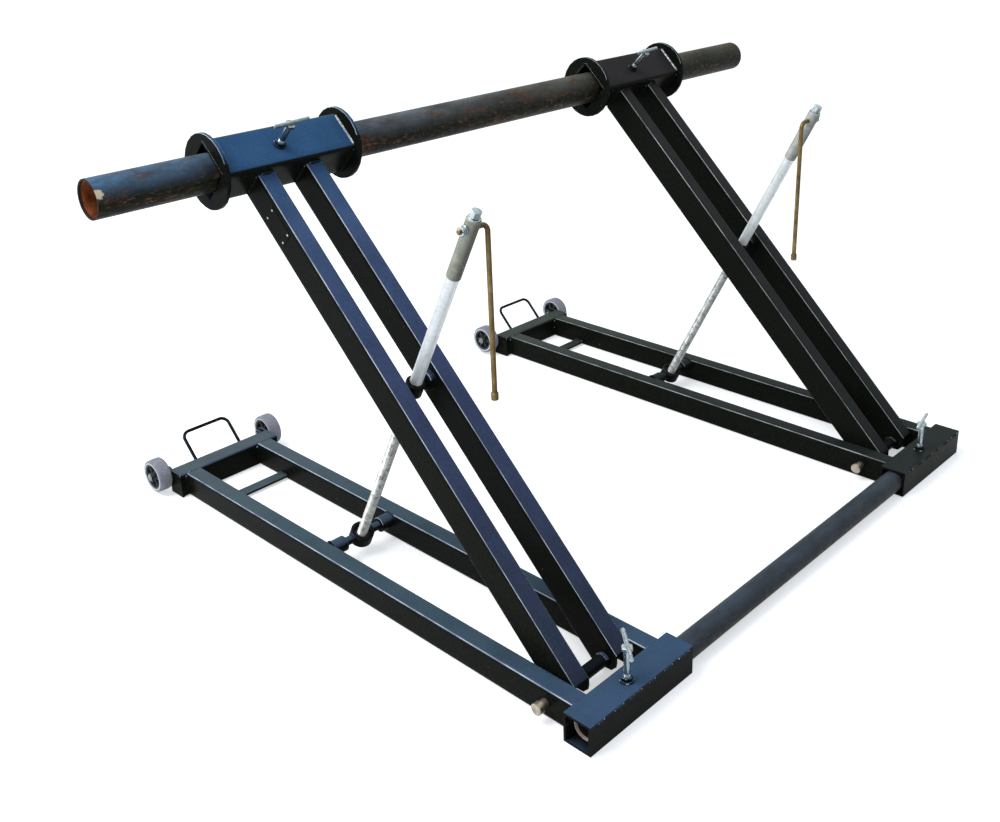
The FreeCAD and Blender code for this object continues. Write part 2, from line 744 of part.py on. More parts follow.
def clamp_screw(body, centre, bottom, top):
    """The threaded shank of a clamp, from just above the tube that it holds up to its head."""
    rod(body, "Z", "clamp_radius", (*centre, bottom), f"{top} - {bottom}")
    return [body]


def clamp_handle(body, centre, bottom, turn):
    """The bolt head of a clamp with a round bar welded across its top."""
    hexagon(body, "Z", "clamp_nut_radius", (*centre, bottom), "clamp_head")
    bar = rod(body, "Z", "clamp_bar_radius", (0, 0, 0), "clamp_bar_length")
    bar_height = f"{bottom} + clamp_head + clamp_bar_radius - clamp_bar_sink"
    bind(bar, "Placement",
         f"placement(vector({centre[0]} + sin({turn}) * clamp_bar_length / 2;"
         f" {centre[1]} - cos({turn}) * clamp_bar_length / 2; {bar_height});"
         f" rotation(vector(0; 0; 1); {turn} * 1 deg) * rotation(vector(1; 0; 0); 0 deg - 90 deg))")
    return [body]


def copy_to_jack(name, solids, jack, mirrored=False):
    """One node: the solids of a piece of the jack, moved along Y to the left or right jack."""
    if mirrored:
        flipped = []
        for solid in solids:
            twin = doc.addObject("Part::Mirroring", solid.Name + "_mirrored")
            twin.Source = solid
            twin.Normal = Vector(0, 1, 0)
            flipped.append(twin)
        solids = flipped
    node = doc.addObject("Part::Compound", name)
    node.Links = solids
    place(node, (0, jack, 0))
    return node


def build_jack_pieces():
    """Every piece of one jack in the jack's own middle plane, by node name."""
    box_centre = ("spindle_back", "0 - clamp_offset")
    toe_reach = "rail_height + toe_clamp_reach"
    box_reach = "box_top + box_clamp_reach"
    return {
        "base_rails": base_rails(),
        "rear_crossmember": rear_crossmember(),
        "rail_tie_strip": rail_tie_strip(),
        "carry_handle": carry_handle(),
        "toe_box": toe_box(),
        "cup_bosses": cup_bosses(),
        "hinge_pin": hinge_pin(),
        "axle_bolts": axle_bolts(),
        "near_wheel_hub": wheel_hub("near"),
        "near_wheel_tyre": wheel_tyre("near"),
        "far_wheel_hub": wheel_hub("far"),
        "far_wheel_tyre": wheel_tyre("far"),
        "arm_tubes": arm_tubes(),
        "spindle_box": spindle_box(),
        "box_flanges": box_flanges(),
        "arm_bosses": arm_bosses(),
        "hinge_sleeve": hinge_sleeve(),
        "lift_nut": lift_nut(),
        "screw_cup": screw_cup(),
        "thrust_bearing": thrust_bearing(),
        "lift_screw": lift_screw(),
        "drive_tube": drive_tube(),
        "drive_head": drive_head(),
        "hex_head": hex_head(),
        "crank_handle": crank_handle(),
        "toe_clamp_screw": clamp_screw(toe_clamp_body("toe_screw"), (0, 0), "tie_top",
                                       f"{toe_reach} - seat_gap"),
        "box_clamp_screw": clamp_screw(arm_body("box_screw"), box_centre, "spindle_top",
                                       f"{box_reach} - seat_gap"),
        "box_clamp_handle": clamp_handle(arm_body("box_bar"), box_centre, box_reach,
                                         "box_bar_turn"),
    }


def spindle_tube():
    """The tube across both arms that carries the drum."""
    tube = arm_body("spindle_tube")
    start = ("spindle_back", "0 - spindle_length / 2", "spindle_rise")
    pipe(tube, "Y", "spindle_radius", "spindle_radius - spindle_wall", start, "spindle_length")
    return tube


def tie_tube():
    """The tube through both toe boxes that sets the jacks' spacing."""
    low = "left_jack - half_base - toe_overhang + tie_recess"
    tube = new_body("tie_tube", ("toe_back + toe_width / 2", low, "tie_height"))
    pipe(tube, "Y", "tie_radius", "tie_radius - tie_wall", (0, 0, 0),
         "jack_spacing + base_width + 2 * toe_overhang - 2 * tie_recess")
    return tube


def check_and_write(nodes):
    """Stop on any broken feature, then write one file for each node."""
    doc.recompute()
    for thing in doc.Objects:
        broken = {"Invalid", "Error"} & set(thing.State)
        if broken:
            raise RuntimeError(f"{thing.Name} is {broken}")
    for node in nodes:
        shape = node.Shape
        if shape.isNull() or not shape.isValid():
            raise RuntimeError(f"{node.Label} has no valid shape")
        shape.exportStep(f"parts/{node.Label}.step")
        print(node.Label, len(shape.Solids), "solids", round(shape.Volume), "mm3")
    print(len(nodes), "nodes")


fill_sheet()
pieces = build_jack_pieces()
plate_solids = bare_plate()
nodes = [spindle_tube(), tie_tube()]
for jack in ("left", "right"):
    for name, solids in pieces.items():
        if name == "arm_tubes" and jack == "left":
            solids = solids + plate_solids
        mirrored = name == "crank_handle" and jack == "right"
        nodes.append(copy_to_jack(f"{jack}_{name}", solids, jack + "_jack", mirrored))
    toe_handle = clamp_handle(toe_clamp_body(f"{jack}_toe_bar"), (0, 0),
                              "rail_height + toe_clamp_reach", f"{jack}_toe_bar_turn")
    nodes.append(copy_to_jack(f"{jack}_toe_clamp_handle", toe_handle, jack + "_jack"))
check_and_write(nodes)
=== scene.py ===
# %% [markdown]
# A pair of cable drum jacks, dressed for a photograph.
# The CAD model gives every size and every place. This script puts finer surfaces over it: rolled
# tubes with round corners, real screw threads, weld beads, moulded wheels, and the paint, zinc,
# mill scale and rubber that they are made of.

import json
from math import radians

import bpy
import numpy as np
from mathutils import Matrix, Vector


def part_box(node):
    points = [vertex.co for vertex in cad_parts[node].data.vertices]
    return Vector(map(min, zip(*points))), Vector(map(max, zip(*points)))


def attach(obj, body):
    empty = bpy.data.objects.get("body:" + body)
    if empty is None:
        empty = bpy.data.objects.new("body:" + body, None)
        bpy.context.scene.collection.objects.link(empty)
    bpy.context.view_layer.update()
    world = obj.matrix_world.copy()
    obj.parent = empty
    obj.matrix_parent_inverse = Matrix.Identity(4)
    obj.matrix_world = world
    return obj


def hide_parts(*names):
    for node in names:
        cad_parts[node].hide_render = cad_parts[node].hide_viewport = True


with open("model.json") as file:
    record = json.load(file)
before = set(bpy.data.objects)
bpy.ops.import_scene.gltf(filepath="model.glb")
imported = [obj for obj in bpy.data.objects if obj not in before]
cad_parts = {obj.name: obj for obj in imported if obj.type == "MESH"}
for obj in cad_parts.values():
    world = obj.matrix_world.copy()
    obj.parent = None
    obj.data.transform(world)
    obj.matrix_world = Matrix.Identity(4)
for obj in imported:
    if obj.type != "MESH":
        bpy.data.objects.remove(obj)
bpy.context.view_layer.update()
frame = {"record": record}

# %% [markdown]
# Everything tilted follows two directions of the frame: the lifting arm and the screw strut.
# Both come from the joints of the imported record, so nothing is measured twice.

# %% Directions and places from the frame
MM = 0.001
X, Y, Z = np.eye(3)
joints = {joint["name"]: joint for joint in frame["record"]["behaviour"]["joints"]}


def place_of(joint):
    """The joint's place as an array."""
    return np.array(joints[joint]["pos_m"])


ARM_OUT = np.array(joints["left_box_clamp_turn"]["axis"])
ARM_OUT = ARM_OUT / np.linalg.norm(ARM_OUT)
ARM_UP = np.array([-ARM_OUT[2], 0.0, ARM_OUT[0]])
SCREW_UP = np.array(joints["left_screw_spin"]["axis"])
SCREW_UP = SCREW_UP / np.linalg.norm(SCREW_UP)
print("arm runs along", ARM_UP.round(3), "and the screw along", SCREW_UP.round(3))


def low(node):
    """Lowest corner of a CAD node."""
    return np.array(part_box(node)[0])


def high(node):
    """Highest corner of a CAD node."""
    return np.array(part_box(node)[1])


# %% [markdown]
# Every new piece is a grid of points: rows along the piece, columns around it. A hollow piece closes
# on itself in both directions, like a ring; a solid one gets a fan of triangles over each end.

# %% From grids of points to a mesh
SHARP = radians(35)


def shell(grid, hollow=False, around=slice(None)):
    """Points and faces of a grid that wraps around; hollow also joins its last row to its first.

    A quad joins each point to the next in its row and to the same two in the next row. A solid
    gets one more point in the middle of each end row and a triangle from it to each side. That
    point has to see the whole outline, so for an L shape around picks points near its corner.
    """
    rows, columns = grid.shape[:2]
    index = np.arange(rows * columns).reshape(rows, columns)
    right = np.roll(index, -1, axis=1)
    if hollow:
        first, first_right = index, right
        second, second_right = np.roll(index, -1, axis=0), np.roll(right, -1, axis=0)
    else:
        first, first_right = index[:-1], right[:-1]
        second, second_right = index[1:], right[1:]
    quads = np.stack([first, first_right, second_right, second], -1).reshape(-1, 4)
    points = grid.reshape(-1, 3)
    faces = quads.tolist()
    if not hollow:
        centres = np.stack([grid[0][around].mean(0), grid[-1][around].mean(0)])
        start, end = len(points), len(points) + 1
        points = np.vstack([points, centres])
        bottom = np.stack([np.full(columns, start), right[0], index[0]], -1)
        top = np.stack([np.full(columns, end), index[-1], right[-1]], -1)
        faces += bottom.tolist() + top.tolist()
    return points, faces


def signed_volume(points, faces):
    """Sum of the small pyramids from the origin to each face; negative when the faces point in."""
    corners = np.array([[face[0], face[1], face[2]] for face in faces])
    extra = np.array([[face[0], face[2], face[3]] for face in faces if len(face) == 4])
    corners = np.vstack([corners, extra]) if len(extra) else corners
    a, b, c = points[corners[:, 0]], points[corners[:, 1]], points[corners[:, 2]]
    return float(np.einsum("ij,ij->i", a, np.cross(b, c)).sum() / 6)


def piece(name, body, parts, hides=()):
    """One object from several closed shells; parts is a list of (points, faces, material)."""
    all_points, all_faces, slots, face_slots = [], [], [], []
    start = 0
    for points, faces, material in parts:
        if signed_volume(points - points.mean(0), faces) < 0:
            faces = [face[::-1] for face in faces]
        if material not in slots:
            slots.append(material)
        all_points.append(points)
        all_faces += [[corner + start for corner in face] for face in faces]
        face_slots += [slots.index(material)] * len(faces)
        start += len(points)
    mesh = bpy.data.meshes.new(name)
    mesh.from_pydata(np.vstack(all_points).tolist(), [], all_faces)
    for material in slots:
        mesh.materials.append(material)
    mesh.polygons.foreach_set("material_index", face_slots)
    mesh.polygons.foreach_set("use_smooth", [True] * len(face_slots))
    mesh.set_sharp_from_angle(angle=SHARP)
    mesh.update()
    thing = bpy.data.objects.new(name, mesh)
    bpy.context.scene.collection.objects.link(thing)
    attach(thing, body)
    if hides:
        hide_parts(*hides)
    return thing


# %% [markdown]
# Four kinds of surface make nearly all of a welded jack: a bar or tube carried along a path, a
# turned part, a screw thread and a hexagon. Each is a formula on a grid.

# %% Shape formulas
def rounded_loop(width, height, radius, steps=5, flats=1):
    """Outline of a rectangle with round corners: each corner is a quarter circle of the radius,
    moved out to the corner's own centre. flats is the number of pieces of each straight side."""
    quarter = np.linspace(0, np.pi / 2, steps + 1)
    centre = np.array([width / 2 - radius, height / 2 - radius])
    loop = []
    for turn, (sign_x, sign_y) in enumerate(((1, 1), (-1, 1), (-1, -1), (1, -1))):
        angle = quarter + turn * np.pi / 2
        arc = radius * np.stack([np.cos(angle), np.sin(angle)], -1)
        loop.append(arc + centre * [sign_x, sign_y])
    sides = []
    for arc, after in zip(loop, loop[1:] + loop[:1]):
        share = np.arange(1, flats)[:, None] / flats
        sides += [arc, arc[-1] + share * (after[0] - arc[-1])]
    return np.vstack(sides)


def circle_loop(radius, steps):
    """Outline of a circle."""
    angle = np.linspace(0, 2 * np.pi, steps, endpoint=False)
    return radius * np.stack([np.cos(angle), np.sin(angle)], -1)


def carried(stations, across, up, loops):
    """A flat outline carried along stations: point = station + x * across + y * up."""
    stations = np.asarray(stations, float)
    loops = np.broadcast_to(loops, (len(stations), *np.shape(loops)[-2:]))
    across = np.broadcast_to(across, stations.shape)
    up = np.broadcast_to(up, stations.shape)
    flat = loops[..., :1] * across[:, None] + loops[..., 1:] * up[:, None]
    return stations[:, None] + flat


def steel_tube(start, end, across, up, size, corner, wall, edge=0.5 * MM, trim=None):
    """A hollow rectangular tube: the outer outline goes from start to end, the inner one comes
    back, and both ends have a small bevel. trim moves the end row by a function of its height."""
    start, end = np.asarray(start, float), np.asarray(end, float)
    along = (end - start) / np.linalg.norm(end - start)
    outer = rounded_loop(size[0], size[1], corner, flats=8)
    worn = rounded_loop(size[0] - 2 * edge, size[1] - 2 * edge, corner - edge, flats=8)
    inner = rounded_loop(size[0] - 2 * wall, size[1] - 2 * wall, max(corner - wall, 0.5 * MM),
                         flats=8)
    loops = np.stack([inner, worn, outer, outer, worn, inner])
    stations = np.stack([start, start, start + along * edge, end - along * edge, end, end])
    grid = carried(stations, across, up, loops)
    if trim is not None:
        for row in (3, 4, 5):
            grid[row] += along * trim(loops[row][:, 1])[:, None]
    return shell(grid, hollow=True)


def ring_of(angle, axis, hint=Z):
    """Unit vectors square to the axis: cos(angle) * side + sin(angle) * other. The side is square
    to the hint as well, or to X where the axis runs close to the hint."""
    side = np.cross(axis, hint if abs(axis @ hint) < 0.9 else X)
    side = side / np.linalg.norm(side)
    other = np.cross(axis, side)
    return np.cos(angle)[:, None] * side + np.sin(angle)[:, None] * other


def turned(profile, centre, axis, steps=48, hollow=False):
    """A turned part: each (distance along the axis, radius) of the profile makes one circle."""
    axis = np.asarray(axis, float)
    profile = np.asarray(profile, float)
    ring = ring_of(np.linspace(0, 2 * np.pi, steps, endpoint=False), axis)
    grid = np.asarray(centre) + profile[:, :1, None] * axis + profile[:, 1:, None] * ring
    return shell(grid, hollow)


def bevelled_rod(length, radius, bevel):
    """Profile of a rod with a bevel at both ends."""
    return [(0, radius - bevel), (bevel, radius), (length - bevel, radius), (length, radius - bevel)]


def pipe_profile(length, radius, bore, bevel):
    """Profile of a pipe: out along the outside, back along the bore, with bevelled rims."""
    return [(0, bore), (0, radius - bevel), (bevel, radius), (length - bevel, radius),
            (length, radius - bevel), (length, bore)]


def threaded_rod(centre, axis, length, radius, pitch, depth, steps=36, per_turn=8):
    """A screw thread: the radius drops by a rounded wave of (distance / pitch - angle / turn).
    Crest and root are cut flat, and each end tapers to the root within 0.6 pitch."""
    rows = int(length / pitch * per_turn) + 1
    along = np.linspace(0, length, rows)
    angle = np.linspace(0, 2 * np.pi, steps, endpoint=False)
    phase = along[:, None] / pitch - angle[None] / (2 * np.pi)
    wave = 0.5 - 0.5 * np.cos(2 * np.pi * phase)
    flank = np.clip(1.9 * wave - 0.35, 0, 1)
    ends = np.clip(np.minimum(along, length - along) / (0.6 * pitch), 0, 1)[:, None]
    distance = radius - depth * np.maximum(flank, 1 - ends)
    axis = np.asarray(axis, float)
    ring = ring_of(angle, axis, Y)
    grid = np.asarray(centre) + along[:, None, None] * axis + distance[..., None] * ring[None]
    return shell(grid)


def hexagon(centre, axis, flats, height, bore=0.0, turn=0.0):
    """A nut or bolt head: the radius is flats / 2 over the cosine of the angle from the middle of
    the nearest flat, and a shallow cone takes the corners off both faces."""
    angle = np.linspace(0, 2 * np.pi, 60, endpoint=False)
    from_flat = (angle + np.pi / 6) % (np.pi / 3) - np.pi / 6
    corner = flats / 2 / np.cos(from_flat)
    cut = 0.08 * flats
    levels = np.array([0, 0.25, 0.6, 1.0]) * cut
    distance = np.concatenate([levels, height - levels[::-1]])
    cone = flats / 2 * 0.96 + np.minimum(distance, height - distance) * 2.0
    radius = np.minimum(corner[None], cone[:, None])
    axis = np.asarray(axis, float)
    ring = ring_of(angle + turn, axis)
    rows = distance[:, None, None] * axis + radius[..., None] * ring[None]
    if bore:
        rows = np.concatenate([bore * ring[None], rows, height * axis + bore * ring[None]])
    return shell(np.asarray(centre) + rows, hollow=bool(bore))


def bent_path(corners, bend, steps=10):
    """A path through corners, each rounded by an arc of the bend radius that touches both sides."""
    corners = [np.asarray(corner, float) for corner in corners]
    path = [corners[0]]
    for before, corner, after in zip(corners, corners[1:], corners[2:]):
        back = (before - corner) / np.linalg.norm(before - corner)
        ahead = (after - corner) / np.linalg.norm(after - corner)
        half = np.arccos(np.clip(back @ ahead, -1, 1)) / 2
        reach = bend / np.tan(half)
        middle = (back + ahead) / np.linalg.norm(back + ahead)
        centre = corner + middle * bend / np.sin(half)
        first = corner + back * reach - centre
        last = corner + ahead * reach - centre
        sweep = np.arccos(np.clip(first @ last / bend**2, -1, 1))
        share = np.linspace(0, 1, steps)[:, None]
        arc = (np.sin((1 - share) * sweep) * first + np.sin(share * sweep) * last) / np.sin(sweep)
        path += list(centre + arc)
    path.append(corners[-1])
    return np.array(path)


def round_bar(path, plane, radius, steps=20, bevel=0.8 * MM):
    """A round bar along a path that stays in one plane: a circle stands square to each station."""
    path = np.asarray(path, float)
    ahead = np.gradient(path, axis=0)
    ahead[1:-1] = path[2:] - path[:-2]
    ahead /= np.linalg.norm(ahead, axis=1, keepdims=True)
    plane = np.broadcast_to(plane, ahead.shape)
    up = np.cross(plane, ahead)
    loop = circle_loop(radius, steps)
    inset = loop * (1 - bevel / radius)
    stations = np.vstack([path[0], path[0] + ahead[0] * bevel, path[1:-1],
                          path[-1] - ahead[-1] * bevel, path[-1]])
    up = np.vstack([up[0], up[0], up[1:-1], up[-1], up[-1]])
    across = np.broadcast_to(plane[0], stations.shape)
    loops = np.stack([inset, loop, *[loop] * (len(path) - 2), loop, inset])
    return shell(carried(stations, across, up, loops))


def weld_bead(start, end, radius=3.5 * MM, ripple=4.0 * MM, seed=0):
    """A weld run: a round bead whose radius swells once per ripple, with a little unevenness."""
    start, end = np.asarray(start, float), np.asarray(end, float)
    length = np.linalg.norm(end - start)
    along = (end - start) / length
    rows = max(int(length / (1.2 * MM)), 6)
    share = np.linspace(0, 1, rows)
    step = share * length / ripple
    uneven = 0.10 * np.sin(2.3 * step + seed) + 0.07 * np.sin(5.1 * step + 2.0 * seed)
    swell = 1 + 0.10 * np.abs(np.sin(np.pi * step)) + uneven
    swell *= np.sqrt(np.clip(np.minimum(share, 1 - share) * length / radius, 0.05, 1))
    side = np.cross(along, Z if abs(along[2]) < 0.8 else X)
    side = side / np.linalg.norm(side)
    loops = circle_loop(radius, 8)[None] * swell[:, None, None]
    stations = start + share[:, None] * length * along
    return shell(carried(stations, side, np.cross(along, side), loops))


print("shape formulas ready")

# %% [markdown]
# Materials are networks of nodes. One helper adds a node, sets it and links it, so each finish below
# reads as a short recipe. Colours are written as they look on screen and turned to linear light.

# %% Material helpers
def linear(hex_colour):
    """Linear light of an sRGB hex colour, with the standard curve."""
    value = np.array([int(hex_colour[i:i + 2], 16) for i in (1, 3, 5)]) / 255
    curve = np.where(value <= 0.04045, value / 12.92, ((value + 0.055) / 1.055) ** 2.4)
    return (*curve.tolist(), 1.0)


def add(tree, kind, out=None, sockets=None, stops=(), **settings):
    """A node with its settings. sockets maps an input, by name or number, to a value or to the
    output that feeds it. stops are the places and hex colours of a colour ramp. The output called
    out is given back, or the node itself."""
    node = tree.nodes.new("ShaderNode" + kind)
    for name, value in settings.items():
        setattr(node, name, value)
    for name, value in (sockets or {}).items():
        if isinstance(value, bpy.types.NodeSocket):
            tree.links.new(value, node.inputs[name])
        else:
            node.inputs[name].default_value = value
    for number, (place, colour) in enumerate(stops):
        elements = node.color_ramp.elements
        element = elements[number] if number < len(elements) else elements.new(place)
        element.position = place
        element.color = linear(colour)
    return node if out is None else node.outputs[out]


def start_material(name, **constants):
    """A new material with its tree, its Principled shader and the piece's own coordinates."""
    material = bpy.data.materials.new(name)
    material.use_nodes = True
    tree = material.node_tree
    shader = tree.nodes["Principled BSDF"]
    for socket, value in constants.items():
        shader.inputs[socket.replace("_", " ")].default_value = value
    return material, tree, shader, add(tree, "TexCoord", "Object")


def coat(tree, shader, colour, roughness, height, strength, depth):
    """Feed the shader its colour, its roughness and a bump whose depth is in metres."""
    tree.links.new(colour, shader.inputs["Base Color"])
    tree.links.new(roughness, shader.inputs["Roughness"])
    bump = add(tree, "Bump", "Normal", {"Height": height, "Strength": strength, "Distance": depth})
    tree.links.new(bump, shader.inputs["Normal"])


# %% [markdown]
# The frames are black enamel over welded steel. Upright faces look black. Faces that look up get a
# painted reflection of the sky, blue on the left jack and grey on the right one. The painted
# reflection pales towards the rear of the frame and turns bluer up the arms. A fine pale line is
# painted along the upper round corners of the tubes as a painted highlight.

# %% Black enamel
def black_enamel(name, level_sky_ramp, slope_sky_ramp, edge):
    """Enamel on steel: black, a painted reflection of the sky on top, a painted highlight on the upper
    round corners, chips, orange peel. The piece's own normal tells where the painted reflection lies.
    level_sky_ramp is its colour from the rear to the toe, slope_sky_ramp the same from the floor up;
    sheltered faces inside a tube have none. A corner that runs along the jack has a normal with as
    much Y as height, and only there the painted highlight line is drawn.
    """
    made, tree, shader, where = start_material(name, Specular_IOR_Level=0.02)
    split = add(tree, "SeparateXYZ", None, {"Vector": add(tree, "TexCoord", "Normal")})
    upward = split.outputs["Z"]
    place = add(tree, "SeparateXYZ", None, {"Vector": where})
    along = add(tree, "MapRange", "Result", {"Value": place.outputs["X"], "From Min": -0.6,
                                             "From Max": 0.7})
    height = add(tree, "MapRange", "Result", {"Value": place.outputs["Z"], "From Min": 0.1,
                                              "From Max": 0.9})
    # painted reflection of the sky: its colour along the frame for level faces, and up the arms for
    # sloped ones
    level_sheen = add(tree, "ValToRGB", "Color", {"Fac": along}, level_sky_ramp)
    slope_sheen = add(tree, "ValToRGB", "Color", {"Fac": height}, slope_sky_ramp)
    level = add(tree, "MapRange", "Result", {"Value": upward, "From Min": 0.8, "From Max": 0.95})
    sky_reflection = add(tree, "Mix", 2, {0: level, 6: slope_sheen, 7: level_sheen}, data_type="RGBA")

    clouds = add(tree, "TexNoise", "Fac", {"Vector": where, "Scale": 1 / (70 * MM), "Detail": 5.0})
    grit = add(tree, "TexNoise", "Fac", {"Vector": where, "Scale": 1 / (5 * MM), "Detail": 6.0,
                                         "Roughness": 0.7})
    black = add(tree, "ValToRGB", "Color", {"Fac": grit},
                [(0.35, "#0c0e0c"), (0.6, "#171914"), (0.8, "#28271d")])
    steep = add(tree, "MapRange", "Result", {"Value": upward, "From Min": 0.3, "From Max": 0.72})
    fine = add(tree, "MapRange", "Result", {"Value": grit, "From Min": 0.3, "From Max": 0.7,
                                            "To Min": 0.75, "To Max": 1.1})
    uneven = add(tree, "MapRange", "Result", {"Value": clouds, "From Min": 0.3, "From Max": 0.7,
                                              "To Min": 0.85, "To Max": 1.1})
    shelter = add(tree, "AmbientOcclusion", "AO", {"Distance": 60 * MM}, only_local=True, samples=4)
    open_air = add(tree, "MapRange", "Result", {"Value": shelter, "From Min": 0.5, "From Max": 0.8})
    share = add(tree, "Math", "Value", {0: steep, 1: fine}, operation="MULTIPLY")
    share = add(tree, "Math", "Value", {0: share, 1: uneven}, operation="MULTIPLY")
    share = add(tree, "Math", "Value", {0: share, 1: open_air}, operation="MULTIPLY", use_clamp=True)
    reflected_black = add(tree, "Mix", 2, {0: share, 6: black, 7: sky_reflection}, data_type="RGBA")

    # painted highlight: a pale line on the upper round corners that run along the jack, standing for
    # light on the edges
    sideways = add(tree, "Math", "Value", {0: split.outputs["Y"]}, operation="ABSOLUTE")
    corner = add(tree, "Math", "Value", {0: sideways, 1: 0.7, 2: 0.12}, operation="COMPARE")
    rising = add(tree, "Math", "Value", {0: upward, 1: 0.25}, operation="GREATER_THAN")
    patchy = add(tree, "TexNoise", "Fac", {"Vector": where, "Scale": 1 / (45 * MM), "Detail": 3.0})
    bright = add(tree, "MapRange", "Result", {"Value": patchy, "From Min": 0.35, "From Max": 0.62,
                                              "To Min": 0.35, "To Max": 1.0})
    line = add(tree, "Math", "Value", {0: corner, 1: rising}, operation="MULTIPLY")
    line = add(tree, "Math", "Value", {0: line, 1: bright}, operation="MULTIPLY")
    highlighted = add(tree, "Mix", 2, {0: line, 6: reflected_black, 7: linear(edge)}, data_type="RGBA")

    spots = add(tree, "TexNoise", "Fac", {"Vector": where, "Scale": 1 / (11 * MM), "Detail": 2.0})
    chips = add(tree, "MapRange", "Result", {"Value": spots, "From Min": 0.76, "From Max": 0.78})
    paint = add(tree, "Mix", 2, {0: chips, 6: highlighted, 7: linear("#5b4a3c")}, data_type="RGBA")
    gloss = add(tree, "MapRange", "Result", {"Value": clouds, "From Min": 0.3, "From Max": 0.7,
                                             "To Min": 0.22, "To Max": 0.4})
    peel = add(tree, "TexNoise", "Fac", {"Vector": where, "Scale": 1 / (1.6 * MM), "Detail": 2.0})
    coat(tree, shader, paint, gloss, peel, 0.12, 0.4 * MM)
    return made


# %% [markdown]
# The two round tubes were left as they came from the mill: a dark, hard scale with brown specks of
# rust, and a painted reflection of the sky on top. A sawn end is bare or brown, and the bores are
# brown or orange. Scale could be a picture wrapped round the pipe. Noise drawn out along it needs no
# picture, has no seam and stays sharp at any distance.

# %% Mill scale and rust
def mill_scale(name, scale, speck, scale_sky_ramp, patch_from, scar=(0, 0, 0)):
    """Rolled steel with its scale: dark and grainy, drawn out along Y, rust in patches. scale_sky_ramp
    holds the colours of a painted reflection of the sky on top, from the near end to the far one. scar
    is the middle of a ragged patch, about 16 mm wide, where a blow took the scale off."""
    made, tree, shader, where = start_material(name, Specular_IOR_Level=0.06)
    drawn = add(tree, "Mapping", "Vector", {"Vector": where, "Scale": (1.0, 0.4, 1.0)})
    grain = add(tree, "TexNoise", "Fac", {"Vector": drawn, "Scale": 1 / (6 * MM), "Detail": 7.0,
                                          "Roughness": 0.75})
    clouds = add(tree, "TexNoise", "Fac", {"Vector": drawn, "Scale": 1 / (38 * MM), "Detail": 6.0,
                                           "Roughness": 0.6})
    dark = add(tree, "ValToRGB", "Color", {"Fac": grain},
               [(0.36, scale), (0.56, speck), (0.74, "#5b523c")])
    # painted reflection of the sky on faces that look up, its colour changing along Y
    place = add(tree, "SeparateXYZ", "Y", {"Vector": where})
    along = add(tree, "MapRange", "Result", {"Value": place, "From Min": -1.0, "From Max": 1.0})
    film = add(tree, "ValToRGB", "Color", {"Fac": along}, scale_sky_ramp)
    upward = add(tree, "SeparateXYZ", "Z", {"Vector": add(tree, "TexCoord", "Normal")})
    top = add(tree, "MapRange", "Result", {"Value": upward, "From Min": -0.1, "From Max": 0.95})
    uneven = add(tree, "MapRange", "Result", {"Value": clouds, "From Min": 0.32, "From Max": 0.62,
                                              "To Min": 0.3, "To Max": 1.1})
    worn = add(tree, "MapRange", "Result", {"Value": grain, "From Min": 0.35, "From Max": 0.65,
                                            "To Min": 1.25, "To Max": 0.6})
    share = add(tree, "Math", "Value", {0: top, 1: uneven}, operation="MULTIPLY")
    share = add(tree, "Math", "Value", {0: share, 1: worn}, operation="MULTIPLY", use_clamp=True)
    sky = add(tree, "Mix", 2, {0: share, 6: dark, 7: film}, data_type="RGBA")
    patches = add(tree, "TexNoise", "Fac", {"Vector": drawn, "Scale": 1 / (24 * MM), "Detail": 8.0,
                                            "Roughness": 0.7})
    rusty = add(tree, "MapRange", "Result", {"Value": patches, "From Min": patch_from,
                                             "From Max": patch_from + 0.08, "To Max": 0.75})
    rust = add(tree, "ValToRGB", "Color", {"Fac": grain},
               [(0.35, "#2a1a10"), (0.55, "#523a2a"), (0.75, "#8a6a4c")])
    aged = add(tree, "Mix", 2, {0: rusty, 6: sky, 7: rust}, data_type="RGBA")
    away = add(tree, "VectorMath", "Value", {0: where, 1: scar}, operation="DISTANCE")
    ragged = add(tree, "Math", "Value", {0: grain, 1: 30 * MM, 2: away}, operation="MULTIPLY_ADD")
    struck = add(tree, "MapRange", "Result", {"Value": ragged, "From Min": 24 * MM,
                                              "From Max": 22 * MM})
    whole = add(tree, "Mix", 2, {0: struck, 6: aged, 7: linear("#cdbfa8")}, data_type="RGBA")
    dull = add(tree, "MapRange", "Result", {"Value": grain, "From Min": 0.3, "From Max": 0.75,
                                            "To Min": 0.55, "To Max": 0.35})
    coat(tree, shader, whole, dull, grain, 0.3, 0.4 * MM)
    return made


def sawn_rust(name, deep, middle, pale):
    """Rust on a sawn end or in a bore: matt grains under 3 mm, in darker and paler clouds."""
    made, tree, shader, where = start_material(name, Specular_IOR_Level=0.25)
    grains = add(tree, "TexNoise", "Fac", {"Vector": where, "Scale": 1 / (3 * MM), "Detail": 6.0,
                                           "Roughness": 0.65})
    clouds = add(tree, "TexNoise", "Fac", {"Vector": where, "Scale": 1 / (25 * MM), "Detail": 4.0})
    rust = add(tree, "ValToRGB", "Color", {"Fac": grains}, [(0.3, deep), (0.52, middle), (0.75, pale)])
    shade = add(tree, "MapRange", "Result", {"Value": clouds, "From Min": 0.45, "From Max": 0.7})
    whole = add(tree, "Mix", 2, {0: shade, 6: rust, 7: linear(deep)}, data_type="RGBA")
    dull = add(tree, "MapRange", "Result", {"Value": grains, "From Min": 0.3, "From Max": 0.7,
                                            "To Min": 0.95, "To Max": 0.75})
    coat(tree, shader, whole, dull, grains, 0.5, 0.5 * MM)
    return made


# %% [markdown]
# Bright zinc is plated on the bolts: a smooth white metal, slightly blue. The drive tube is hot-dip
# galvanised, which leaves large pale crystals, and the screw is pale metal with old grease on it. The
# drive head is raw turned steel, and the crank and the hinge pin have a chromate film. One recipe
# with a few numbers makes all but the galvanised tube, because metals differ in little else.

# %% Metals
# LIT_SIDE points towards the lamp: metal faces turned away from it get painted shade
LIT_SIDE = (-0.35, -0.6, 0.72)


